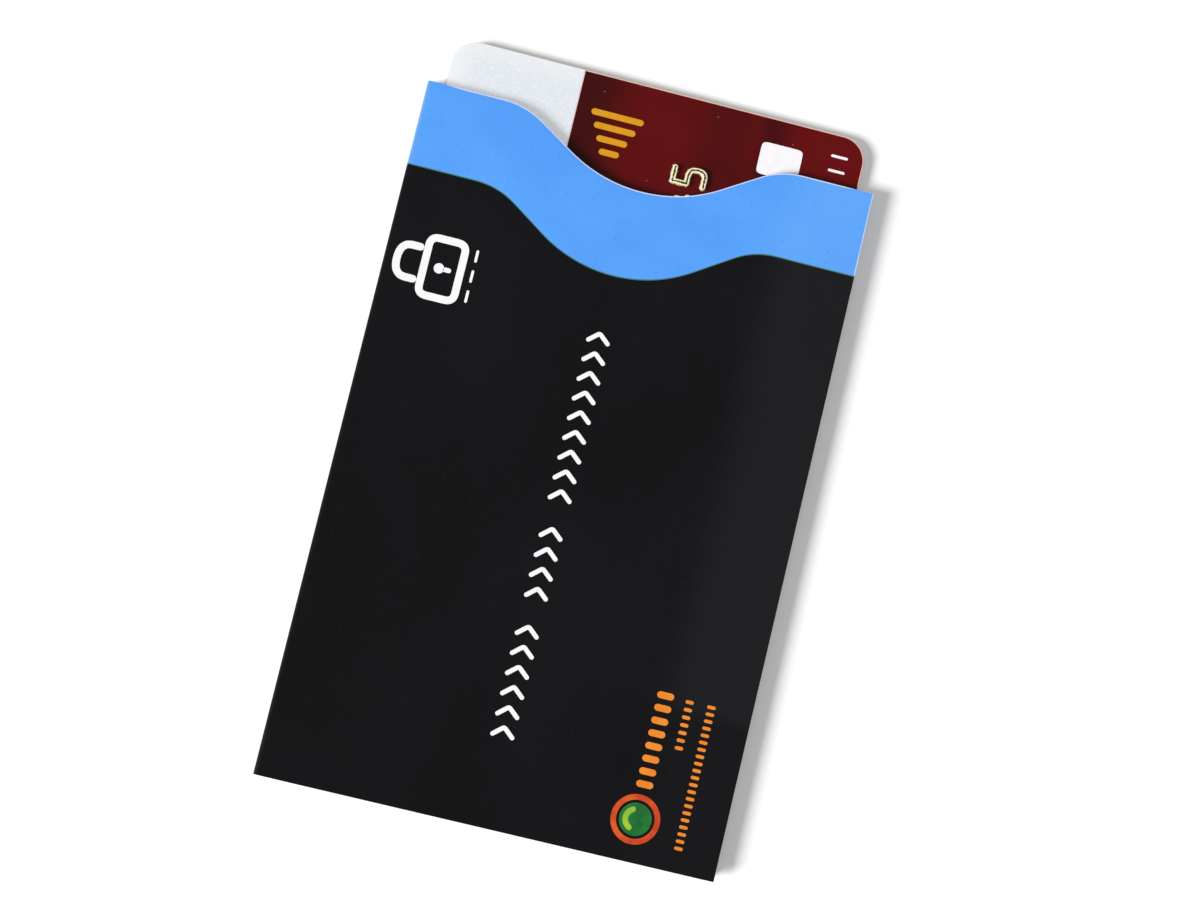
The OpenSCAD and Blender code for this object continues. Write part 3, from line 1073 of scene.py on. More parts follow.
@dataclass
class Sleeve:
    """The folded sheet: side flap, side fold, back, spine and front, and an end flap with its fold.

    Attributes:
        width, height, thickness: the whole sleeve's size.
        board, foil, liner: thickness of the three layers.
        glue: thickness of the glue lines.
        side_flap, end_flap: how far the flaps reach in from the sleeve's edges.
        side_inset, end_inset: how far the front's cut edges stop short of the folds.
        corner_relief, spine_relief, taper: cut-outs at the folds' ends, and the flaps' tapers.
        squareness: exponent of the folds' outline, 2 for a round one.
        lift, lift_x, lift_w: how far the card lifts the front at the mouth, and the lift's middle and width.
        lift_from, lift_below: the Y where the lift begins, and how far below the mouth's corners it is full.
        swell: height of the front's shallow waves.
        waves: for each wave its lengths along X and Y over one radian, and its shift.
        side_fade, end_fade: over what distance the relief fades towards the sides and the end.
        flap_gap: how far inside the side flap's edge it has faded.
        rim, side_rim: widths of the bare rim along the front's cut edges, and of the one beside the black.
        low_rim: width of the rim where the card doesn't hold the mouth open, and at the low end.
        rim_drop: how far the rim's outer edge lies below the printed face.
        rim_from: how far in from the sides the mouth's rim begins to widen and is full.
        rim_least: share of the rim's width above which it is bare.
        trap: width of the dark line where black meets blue.
        steps: how finely the outline is divided on each Stretch.
        black_rows, blue_rows, end_rows: rows of points over the black, over the blue and along the end flap.
        side_wear, spine_wear, end_wear: how far the ink is rubbed off at each fold.
        side_worn: how far beyond the side fold's axis the wear begins and is full.
        spine_worn: height and width of the worn stretch of the spine, both over the spine's radius.
        end_worn: how far below the end fold's axis the wear begins.
        mouth, border: the mouth's edge, and the line where black meets blue.
    """

    width: float
    height: float
    thickness: float
    board: float = 0.2
    foil: float = 0.03
    liner: float = 0.05
    glue: float = 0.05
    side_flap: float = 9.0
    end_flap: float = 8.0
    side_inset: float = 0.13
    end_inset: float = 0.1
    corner_relief: float = 1.2
    spine_relief: float = 2.4
    taper: float = 2.4
    squareness: float = 4.4
    lift: float = 0.05
    lift_x: float = -4.0
    lift_w: float = 13.0
    lift_from: float = 8.0
    lift_below: float = 4.0
    swell: float = 0.018
    waves: tuple[Vec3, ...] = ((5.1, 9.7, 0.6), (3.9, -7.3, 2.1))
    side_fade: float = 7.0
    end_fade: float = 8.0
    flap_gap: float = 0.3
    rim: float = 0.14
    side_rim: float = 0.03
    low_rim: float = 0.004
    rim_drop: float = 0.008
    rim_from: Vec2 = (2.2, 4.2)
    rim_least: float = 0.02
    trap: float = 0.14
    steps: tuple[int, ...] = (10, 28, 72, 36, 96)
    black_rows: int = 49
    blue_rows: int = 17
    end_rows: int = 60
    side_wear: float = 0.5
    spine_wear: float = 0.08
    end_wear: float = 0.12
    side_worn: Vec2 = (0.3, 0.8)
    spine_worn: Vec2 = (1.35, 0.45)
    end_worn: float = 0.3
    mouth: Wave = Wave()
    border: Wave = Wave(depth=7.45, middle=-0.8, start=10.97)

    def __post_init__(self) -> None:
        """Work out the places that follow from the sizes, and the layers."""
        self.mouth_y = self.height / 2
        self.spine_r = self.thickness / 2
        self.spine_x = -self.width / 2 + self.spine_r
        self.flap_z = self.thickness - self.board - self.foil - self.liner - self.glue
        self.seam_r = self.flap_z / 2
        self.side_x = self.width / 2 - self.seam_r
        self.end_y = -self.height / 2 + self.seam_r
        self.flap_end_y = -self.height / 2 + self.end_flap
        self.front_x = self.width / 2 - self.side_inset
        self.flap_x = self.width / 2 - self.side_flap
        foil_top = self.board
        liner_top = foil_top + self.foil
        liner_bottom = liner_top + self.liner
        board_nodes = (
            "front_panel", "back_panel", "spine_fold", "side_fold", "side_glue_flap", "end_fold",
            "end_glue_flap",
        )
        self.layers = [
            Layer("sleeve_board", 0.0, foil_top, BOARD_FINISHES, Slot.PRINTED_BOARD, board_nodes),
            Layer("sleeve_foil", foil_top, liner_top, (FOIL,), Slot.FOIL, ("foil_shield",)),
            Layer("sleeve_liner", liner_top, liner_bottom, (LINER,), Slot.LINER_FILM, ("inner_liner",)),
        ]

    @classmethod
    def from_frame(cls) -> "Sleeve":
        """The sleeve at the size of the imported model.

        Returns:
            A sleeve as wide, high and thick as the CAD nodes.
        """
        left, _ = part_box("spine_fold")
        back_low, back_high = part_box("back_panel")
        end_low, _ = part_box("end_fold")
        _, front_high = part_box("front_panel")
        return cls(
            width=round(-2 * left.x / MM, 3),
            height=round((back_high.y - end_low.y) / MM, 3),
            thickness=round((front_high.z - back_low.z) / MM, 3),
        )

    def front_relief(self, x: np.ndarray, y: np.ndarray) -> np.ndarray:
        """How far the front's face stands above its flat level.

        The card lifts it most at the mouth: a bell curve across, times a smooth rise along Y. Two
        slanting sine waves make it uneven. It is nought over the flaps, at the spine and at the end.

        Args:
            x, y: places on the front.

        Returns:
            The height at each place.
        """
        bell = np.exp(-(((x - self.lift_x) / self.lift_w) ** 2))
        bell = bell * smooth(y, self.lift_from, self.mouth_y - self.lift_below)
        waves = sum(np.sin(x / across + y / up + shift) for across, up, shift in self.waves)
        free = smooth(x, self.spine_x, self.spine_x + self.side_fade)
        free = free * smooth(x, self.flap_x - self.flap_gap, self.flap_x - self.side_fade)
        free = free * smooth(y, self.flap_end_y, self.flap_end_y + self.end_fade)
        return (self.lift * bell + self.swell * waves) * free

    def front_height(self, x: np.ndarray, y: np.ndarray) -> np.ndarray:
        """Height of the front's printed face."""
        return self.thickness + self.front_relief(x, y)

    def _half_turn(self, centre: Vec2, radius: float, start: float, end: float, steps: int) -> np.ndarray:
        """A fold's outline: cosine and sine of the angle, each to the power 2 / squareness, times the radius.

        Args:
            centre: the fold's axis.
            radius: half its height.
            start, end: angles in degrees.
            steps: number of its stretches.

        Returns:
            The outline's points.
        """
        unit = round_points((0, 0), 1.0, start, end, steps)
        return np.array(centre) + radius * np.sign(unit) * np.abs(unit) ** (2 / self.squareness)

    def _flat(self, places: np.ndarray, z: float) -> np.ndarray:
        """A flat stretch of outline through these places at one height."""
        return np.stack([places, np.full(len(places), z)], axis=1)

    def _outline(self) -> tuple[np.ndarray, np.ndarray, np.ndarray]:
        """The printed face's outline in X and Z, from the side flap's free edge to the front's cut edge.

        Returns:
            The points, the outward direction at each, and the Stretch that each is on.
        """
        flap, side, back, spine, front = self.steps
        printed = np.linspace(self.spine_x, self.front_x - self.rim, front)
        parts = [
            self._flat(np.linspace(self.flap_x, self.side_x, flap), self.flap_z),
            self._half_turn((self.side_x, self.seam_r), self.seam_r, 90, -90, side)[1:],
            self._flat(np.linspace(self.side_x, self.spine_x, back), 0.0)[1:],
            self._half_turn((self.spine_x, self.spine_r), self.spine_r, -90, -270, spine)[1:],
            self._flat(np.append(printed, [self.front_x - self.side_rim, self.front_x]), self.thickness)[1:],
        ]
        points = np.vstack(parts)
        ahead = np.gradient(points, axis=0)
        outward = np.stack([-ahead[:, 1], ahead[:, 0]], axis=1)
        stretch = np.repeat(list(Stretch), [len(p) for p in parts])
        return points, outward / np.linalg.norm(outward, axis=1)[:, None], stretch

    def _low_ends(self, x: np.ndarray, stretch: np.ndarray) -> np.ndarray:
        """Where the sheet ends towards -Y at each point of the outline.

        Args:
            x, stretch: place and Stretch of each point.

        Returns:
            The end's Y for each point.
        """
        fold_low = np.full(len(x), -self.height / 2 + self.corner_relief)
        front_low = np.full(len(x), -self.height / 2 + self.end_inset)
        back_low = np.full(len(x), self.end_y)
        return np.choose(stretch, [fold_low + self.side_x - x, fold_low, back_low, front_low, front_low])

    def _strip(self, layer: Layer) -> Shell:
        """The long strip of one layer, from the side flap round the spine to the front.

        Its columns follow the outline and its rows run from the low end to the mouth. They pass
        along both sides of the dark line between black and blue. The last row is the rim of the
        mouth's cut edge, and the last two columns are the rim of the side's. Both are bare and
        slope down a little.

        Args:
            layer: the layer.

        Returns:
            The strip, with wear at the folds as its values.
        """
        points, outward, stretch = self._outline()
        x = points[:, 0]
        low = self._low_ends(x, stretch)
        flap_end = self.mouth_y - self.taper * (self.side_x - x) / (self.side_x - self.flap_x)
        high = np.where(stretch == Stretch.FLAP, flap_end, self.mouth_y - self.mouth.drop(x))
        border = self.mouth_y - self.border.drop(x)
        rim_begins, rim_full = (self.width / 2 - inside for inside in self.rim_from)
        over_card = smooth(np.abs(x), rim_begins, rim_full) * (stretch == Stretch.FRONT)
        first = low + self.low_rim
        blue = border + self.trap
        last = high - self.low_rim - self.rim * over_card
        rows = np.vstack([
            low,
            first + (border - first) * np.linspace(0, 1, self.black_rows)[:, None],
            blue + (last - blue) * np.linspace(0, 1, self.blue_rows)[:, None],
            high,
        ])
        drop = np.zeros(rows.shape)
        drop[0] = self.rim_drop * self.low_rim / self.rim
        drop[-1] = self.rim_drop * over_card
        drop[:, -1] = self.rim_drop
        relief = np.where(stretch == Stretch.FRONT, self.front_relief(x, rows), 0)
        grids = []
        for depth in (layer.top + drop * (layer.top == 0), layer.bottom):
            up = points[:, 1] - outward[:, 1] * depth + relief
            grids.append(np.stack([x - outward[:, 0] * depth + 0 * rows, rows, up], axis=2))
        trap_row = self.black_rows
        faces = np.full((len(rows) - 1, len(x) - 1), BoardFace.BLACK)
        faces[trap_row] = BoardFace.BORDER
        faces[trap_row + 1:] = BoardFace.BLUE
        faces[-1, over_card[1:] > self.rim_least] = BoardFace.BARE
        faces[:trap_row + 1, -1] = BoardFace.AGED
        faces[trap_row + 1:, -2:] = BoardFace.BARE
        faces[:, stretch[1:] == Stretch.FLAP] = BoardFace.BARE
        return layer.dressed(*grids, faces, np.broadcast_to(self._wear(points, stretch), rows.shape))

    def _wear(self, points: np.ndarray, stretch: np.ndarray) -> np.ndarray:
        """How far the ink is rubbed off: a smooth rise round the side fold and a bell curve on the spine.

        Args:
            points, stretch: the outline's points and the Stretch of each.

        Returns:
            The wear at each point, from 0 to 1.
        """
        begins, full = (self.side_x + beyond for beyond in self.side_worn)
        side = smooth(points[:, 0], begins, full) * (stretch == Stretch.SIDE_FOLD)
        worn_z, worn_w = self.spine_worn
        off_worn = (points[:, 1] / self.spine_r - worn_z) / worn_w
        spine = np.exp(-(off_worn ** 2)) * (stretch == Stretch.SPINE)
        return np.maximum(self.side_wear * side, self.spine_wear * spine)

    def _end_strip(self, layer: Layer) -> Shell:
        """The end flap and its fold in one layer, which turn up from the back's low edge.

        Args:
            layer: the layer.

        Returns:
            The strip.
        """
        flap_steps, fold_steps = self.steps[Stretch.FLAP], self.steps[Stretch.SIDE_FOLD]
        flap = self._flat(np.linspace(self.flap_end_y, self.end_y, flap_steps), self.flap_z)
        fold = self._half_turn((self.end_y, self.seam_r), self.seam_r, 90, 270, fold_steps)
        points = np.vstack([flap, fold[1:]])
        ahead = np.gradient(points, axis=0)
        outward = np.stack([ahead[:, 1], -ahead[:, 0]], axis=1)
        outward /= np.linalg.norm(outward, axis=1)[:, None]
        reach = np.clip(points[:, 0] - self.end_y, 0, None)
        left = -self.width / 2 + self.spine_relief + reach * self.taper / (self.flap_end_y - self.end_y)
        right = self.width / 2 - self.corner_relief - reach
        across = left + (right - left) * np.linspace(0, 1, self.end_rows)[:, None]
        grids = []
        for depth in (layer.top, layer.bottom):
            y, z = (points - outward * depth).T
            grids.append(np.stack([across, y + 0 * across, z + 0 * across], axis=2))
        faces = np.full((len(across) - 1, len(points) - 1), BoardFace.BLACK)
        faces[:, :len(flap) - 1] = BoardFace.BARE
        wear = self.end_wear * smooth(-points[:, 0], -self.end_y + self.end_worn, -self.end_y + self.seam_r)
        return layer.dressed(*grids, faces, np.broadcast_to(wear, across.shape))

    def build(self, nodes: dict[str, bpy.types.Object]) -> None:
        """Make the three layers and dress the glue lines.

        Args:
            nodes: the CAD nodes.
        """
        for layer in self.layers:
            shells = [self._strip(layer), self._end_strip(layer)]
            make_piece(layer.name, shells, layer.finishes, Body.SLEEVE, layer.nodes, "wear")
        for name in ("side_seam_glue", "end_seam_glue"):
            dress(nodes, name, GLUE)


# Printed marks


@dataclass
class Printer:
    """Lays marks of ink on a face, as thin closed slabs.

    Attributes:
        height: gives the face's height at each place.
        ink: how far the ink stands above it.
        root: how far its underside lies below it.
        tip_steps: cross lines at each round end of a stroke.
        tip_least: half width of the last of them, as a share of the stroke's.
        nudge: how far to each side of a point its line's direction is measured.
    """

    height: Heights
    ink: float = 0.012
    root: float = 0.012
    tip_steps: int = 6
    tip_least: float = 0.05
    nudge: float = 0.02

    def _laid(self, x: np.ndarray, y: np.ndarray, ring: bool = False) -> Shell:
        """A slab of ink over a grid of places.

        Args:
            x, y: the places.
            ring: True if the last row meets the first.

        Returns:
            The slab.
        """
        level = self.height(x, y)
        top = np.stack([x, y, level + self.ink], axis=2)
        return slab(top, np.stack([x, y, level - self.root], axis=2), ring=ring)

    def stroke(
        self, points: np.ndarray | Sequence[Vec2], width: float, closed: bool = False, pitch: float = 0.25,
    ) -> Shell:
        """A stroke of even width along a line, with round ends.

        Each cross line lies on the line's normal. Near an end at the distance d, the half width h
        shrinks to the root of h squared less (h - d) squared.

        Args:
            points: the line's points.
            width: the stroke's width.
            closed: True if the line ends where it began.
            pitch: distance between cross lines.

        Returns:
            The stroke.
        """
        line = np.array(points, float)
        half = width / 2
        length = np.linalg.norm(np.diff(line, axis=0), axis=1).sum()
        count = max(6, int(length / pitch))
        if closed:
            share = np.linspace(0, 1, count, endpoint=False)
            reach = np.full(count, half)
        else:
            tip = np.linspace(0, 1, self.tip_steps + 1)[:-1] ** 2 * min(half / length, 0.5)
            share = np.concatenate([tip, np.linspace(tip[-1], 1 - tip[-1], count)[1:-1], 1 - tip[::-1]])
            into_tip = np.clip(half - np.minimum(share, 1 - share) * length, 0, None)
            reach = np.sqrt(np.clip(half ** 2 - into_tip ** 2, (self.tip_least * half) ** 2, None))
        step = self.nudge / length
        ahead = along(line, np.clip(share + step, 0, 1)) - along(line, np.clip(share - step, 0, 1))
        ahead /= np.linalg.norm(ahead, axis=1)[:, None]
        normal = np.stack([-ahead[:, 1], ahead[:, 0]], axis=1)
        across = reach[:, None] * np.linspace(-1, 1, 5)
        grid = along(line, share)[:, None] + normal[:, None] * across[:, :, None]
        return self._laid(grid[:, :, 0], grid[:, :, 1], ring=closed)

    def pad(self, centre: Vec2, size: Vec2, power: float = 2.0, steps: int = 17) -> Shell:
        """A filled oval or rounded rectangle.

        A square grid is drawn in until each of its rings is |x|^power + |y|^power = a constant.

        Args:
            centre: its middle.
            size: its whole width and height.
            power: 2 for an oval, higher for a squarer shape.
            steps: points along each side of the grid.

        Returns:
            The pad.
        """
        side = np.linspace(-1, 1, steps)
        u, v = np.meshgrid(side, side, indexing="ij")
        norm = (np.abs(u) ** power + np.abs(v) ** power) ** (1 / power)
        draw = np.maximum(np.abs(u), np.abs(v)) / np.where(norm > 0, norm, 1)
        return self._laid(centre[0] + u * draw * size[0] / 2, centre[1] + v * draw * size[1] / 2)

    def arc(self, centre: Vec2, radius: float, start: float, end: float, width: float) -> Shell:
        """A stroke along part of a circle, from one angle in degrees to another."""
        return self.stroke(round_points(centre, radius, start, end, 39), width)

    def circle(self, centre: Vec2, radius: float, width: float) -> Shell:
        """A stroke round a whole circle."""
        return self.stroke(round_points(centre, radius, 0, 360, 72), width, closed=True)


@dataclass(frozen=True)
class BarRow:
    """A row of upright bars.

    Attributes:
        x: the row's middle.
        height: the bars' whole height along X.
        low, high: the first and the last bar's place along Y.
        count, width: how many bars there are, and their width.
    """

    x: float
    height: float
    low: float
    high: float
    count: int
    width: float


@dataclass
class SleevePrint:
    """The marks on the sleeve's front: a padlock, a row of chevrons and a block of bars with a roundel.

    They are read with the mouth to the right, so their own upright is -X.

    Attributes:
        sleeve: the sleeve that they are printed on.
        lock_centre: middle of the padlock's body.
        lock_size: the body's height along X and width along Y.
        lock_corner: how far from the body's corners their curves begin.
        lock_stroke: width of the padlock's lines.
        shackle_h, shackle_share: the shackle's height, and its width as a share of the body's.
        shackle_corner: how far from the shackle's corners their curves begin.
        shackle_gap: how far its ends stand off the body's line.
        hole_x, hole_d: how far above the body's middle the keyhole's disc lies, and its width.
        slot_x, slot_stroke: ends of the keyhole's slot below the body's middle, and its width.
        dash_y: places of the dashes along Y, from the padlock's middle.
        dash_gap, dash_length, dash_stroke: their distance below its body, their length and their width.
        chevron_groups: how many chevrons stand in each group.
        chevron_from, chevron_to: the row's ends along Y.
        chevron_x: the row's middle.
        chevron_h, chevron_stroke: a chevron's height and line width.
        chevron_point: how far its point stands ahead of its ends.
        chevron_corner: how far from its point the curve begins.
        chevron_last: the last chevron's share of the row's length.
        group_gap: extra distance between groups, in steps of the row.
        bar_rows: the rows of bars.
        fine: distance between cross lines on the small marks.
        roundel: middle of the roundel.
        ring_r, ring_stroke: its ring's radius and line width.
        disc_d: its disc's width.
        gleam_r, gleam_stroke: radius and line width of the gleam on the disc.
        gleam_from, gleam_to: the gleam's ends in degrees.
        gleam_ink: how far the gleam stands above the board.
    """

    sleeve: Sleeve
    lock_centre: Vec2 = (-21.7, 21.6)
    lock_size: Vec2 = (4.6, 7.4)
    lock_corner: float = 1.1
    lock_stroke: float = 0.95
    shackle_h: float = 3.0
    shackle_share: float = 0.56
    shackle_corner: float = 2.2
    shackle_gap: float = 0.02
    hole_x: float = 0.4
    hole_d: float = 1.3
    slot_x: Vec2 = (0.1, 1.15)
    slot_stroke: float = 0.6
    dash_y: Vec3 = (-2.6, 0.0, 2.6)
    dash_gap: float = 1.5
    dash_length: float = 1.6
    dash_stroke: float = 0.34
    chevron_groups: tuple[int, ...] = (6, 4, 9)
    chevron_from: float = -33.0
    chevron_to: float = 18.8
    chevron_x: float = -0.65
    chevron_h: float = 2.9
    chevron_stroke: float = 0.56
    chevron_point: float = 1.25
    chevron_corner: float = 0.25
    chevron_last: float = 1.5
    group_gap: float = 0.9
    bar_rows: tuple[BarRow, ...] = (
        BarRow(17.9, 3.0, -34.6, -23.4, 8, 0.85),
        BarRow(21.0, 1.5, -29.3, -23.5, 7, 0.45),
        BarRow(23.8, 1.5, -41.3, -23.5, 21, 0.42),
    )
    fine: float = 0.12
    roundel: Vec2 = (17.75, -39.0)
    ring_r: float = 2.75
    ring_stroke: float = 0.7
    disc_d: float = 4.1
    gleam_r: float = 1.25
    gleam_stroke: float = 0.7
    gleam_from: float = 100.0
    gleam_to: float = 260.0
    gleam_ink: float = 0.016

    def padlock(self, printer: Printer) -> list[Shell]:
        """A padlock in outline, with a keyhole and a few dashes below it.

        Args:
            printer: what lays the ink.

        Returns:
            The marks.
        """
        x, y = self.lock_centre
        half_h, half_w = self.lock_size[0] / 2, self.lock_size[1] / 2
        top, foot = x - half_h, x + half_h
        left, right = y - half_w, y + half_w
        corners = [(top, left), (foot, left), (foot, right), (top, right)]
        body = rounded_line(corners, self.lock_corner, closed=True)
        low = top - self.lock_stroke / 2 - self.shackle_gap
        high = low - self.shackle_h
        leg = half_w * self.shackle_share
        corners = [(low, y - leg), (high, y - leg), (high, y + leg), (low, y + leg)]
        shackle = rounded_line(corners, self.shackle_corner)
        slot = [(x + below, y) for below in self.slot_x]
        marks = [
            printer.stroke(body, self.lock_stroke, closed=True),
            printer.stroke(shackle, self.lock_stroke),
            printer.pad((x - self.hole_x, y), (self.hole_d, self.hole_d)),
            printer.stroke(slot, self.slot_stroke),
        ]
        for dash in self.dash_y:
            ends = [(foot + self.dash_gap, y + dash + side * self.dash_length / 2) for side in (-1, 1)]
            marks.append(printer.stroke(ends, self.dash_stroke))
        return marks

    def chevrons(self, printer: Printer) -> list[Shell]:
        """The row of chevrons, which point to the mouth.

        Args:
            printer: what lays the ink.

        Returns:
            The marks.
        """
        steps = sum(self.chevron_groups) - 1 + self.group_gap * (len(self.chevron_groups) - 1)
        pitch = (self.chevron_to - self.chevron_from - self.chevron_last) / steps
        x, half = self.chevron_x, self.chevron_h / 2
        marks = []
        y = self.chevron_from
        for group in self.chevron_groups:
            for _ in range(group):
                corners = [(x - half, y), (x, y + self.chevron_point), (x + half, y)]
                line = rounded_line(corners, self.chevron_corner)
                marks.append(printer.stroke(line, self.chevron_stroke, pitch=self.fine))
                y += pitch
            y += self.group_gap * pitch
        return marks

    def bars(self, printer: Printer) -> list[Shell]:
        """The rows of upright bars.

        Args:
            printer: what lays the ink.

        Returns:
            The marks.
        """
        marks = []
        for row in self.bar_rows:
            half = (row.height - row.width) / 2
            for y in np.linspace(row.low, row.high, row.count):
                ends = [(row.x - half, y), (row.x + half, y)]
                marks.append(printer.stroke(ends, row.width, pitch=self.fine))
        return marks

    def build(self) -> None:
        """Print the marks."""
        front = Printer(self.sleeve.front_height)
        gleam = Printer(self.sleeve.front_height, ink=self.gleam_ink)
        bow = gleam.arc(self.roundel, self.gleam_r, self.gleam_from, self.gleam_to, self.gleam_stroke)
        marks = {
            "padlock_mark": (self.padlock(front), WHITE_INK),
            "chevron_row": (self.chevrons(front), WHITE_INK),
            "orange_bars": (self.bars(front), ORANGE_INK),
            "roundel_ring": ([front.circle(self.roundel, self.ring_r, self.ring_stroke)], RED_INK),
            "roundel_disc": ([front.pad(self.roundel, (self.disc_d, self.disc_d))], GREEN_INK),
            "roundel_gleam": ([bow], LIME_INK),
        }
        for name, (shells, finish) in marks.items():
            make_piece(name, shells, (finish,), Body.SLEEVE)


# The card


@dataclass(frozen=True)
class Outline:
    """A rectangle with round corners.

    Attributes:
        low, high: its lowest and highest corner.
        radius: the corners' radius.
    """

    low: Vec2
    high: Vec2
    radius: float

    def loop(self, inset: float = 0.0, corner_steps: int = 10, side_steps: int = 40) -> np.ndarray:
        """Points round the outline, anticlockwise, at some distance inside it.

        Args:
            inset: that distance.
            corner_steps, side_steps: stretches along each corner and each side.

        Returns:
            The points. Loops at other insets have as many, each beside its fellow.
        """
        left, low = (side + self.radius for side in self.low)
        right, high = (side - self.radius for side in self.high)
        radius = max(self.radius - inset, 0.0)
        centres = [(right, low, -90), (right, high, 0), (left, high, 90), (left, low, 180)]
        arcs = [round_points((x, y), radius, start, start + 90, corner_steps) for x, y, start in centres]
        points = []
        between = np.linspace(0, 1, side_steps + 1)[1:-1, None]
        for corner, following in zip(arcs, arcs[1:] + arcs[:1]):
            points += [corner, corner[-1] + (following[0] - corner[-1]) * between]
        return np.vstack(points)

    def reach(self, centre: np.ndarray, towards: np.ndarray) -> np.ndarray:
        """Where the rays from a point inside the outline, towards other points, cross it.

        Args:
            centre: the point inside.
            towards: the points that the rays aim at.

        Returns:
            The crossings, read off a fine loop by angle.
        """
        fine = self.loop(corner_steps=60, side_steps=200) - centre
        angles = np.arctan2(fine[:, 1], fine[:, 0])
        order = np.argsort(angles)
        far = np.linalg.norm(fine, axis=1)[order]
        aim = towards - centre
        distance = np.interp(np.arctan2(aim[:, 1], aim[:, 0]), angles[order], far, period=2 * math.pi)
        return centre + aim / np.linalg.norm(aim, axis=1)[:, None] * distance[:, None]


# Strokes of the digits 0 to 9 on a cell one wide and one high, as lines of corners with their roundness
DIGIT_STROKES: list[list[list[Vec3]]] = [
    [[(0, 0.5, 0), (0, 1, 1), (1, 1, 1), (1, 0, 1), (0, 0, 1), (0, 0.5, 0)]],
    [[(0.2, 1, 0), (0.6, 1, 0), (0.6, 0, 0)], [(0.2, 0, 0), (1, 0, 0)]],
    [[(0, 1, 0), (1, 1, 1), (1, 0.5, 1), (0, 0.5, 0.6), (0, 0, 0), (1, 0, 0)]],
    [[(0, 1, 0), (1, 1, 1), (1, 0, 1), (0, 0, 0)], [(0.3, 0.5, 0), (1, 0.5, 0)]],
    [[(0, 1, 0), (0, 0.4, 0), (1, 0.4, 0)], [(0.8, 0.75, 0), (0.8, 0, 0)]],
    [[(0.9, 1, 0), (0, 1, 0), (0, 0.54, 0), (1, 0.54, 1), (1, 0, 1), (0, 0, 0)]],
    [[(0.9, 1, 0), (0, 1, 1), (0, 0, 1), (1, 0, 1), (1, 0.5, 1), (0, 0.5, 0)]],
    [[(0, 1, 0), (1, 1, 0.3), (1, 0.6, 0.6), (0.5, 0.4, 0.6), (0.5, 0, 0)]],
    [[(0, 0.5, 0), (0, 1, 1), (1, 1, 1), (1, 0, 1), (0, 0, 1), (0, 0.5, 0)], [(0, 0.52, 0), (1, 0.52, 0)]],
    [[(1, 0.5, 0), (0, 0.5, 1), (0, 1, 1), (1, 1, 1), (1, 0, 1), (0, 0, 0)]],
]


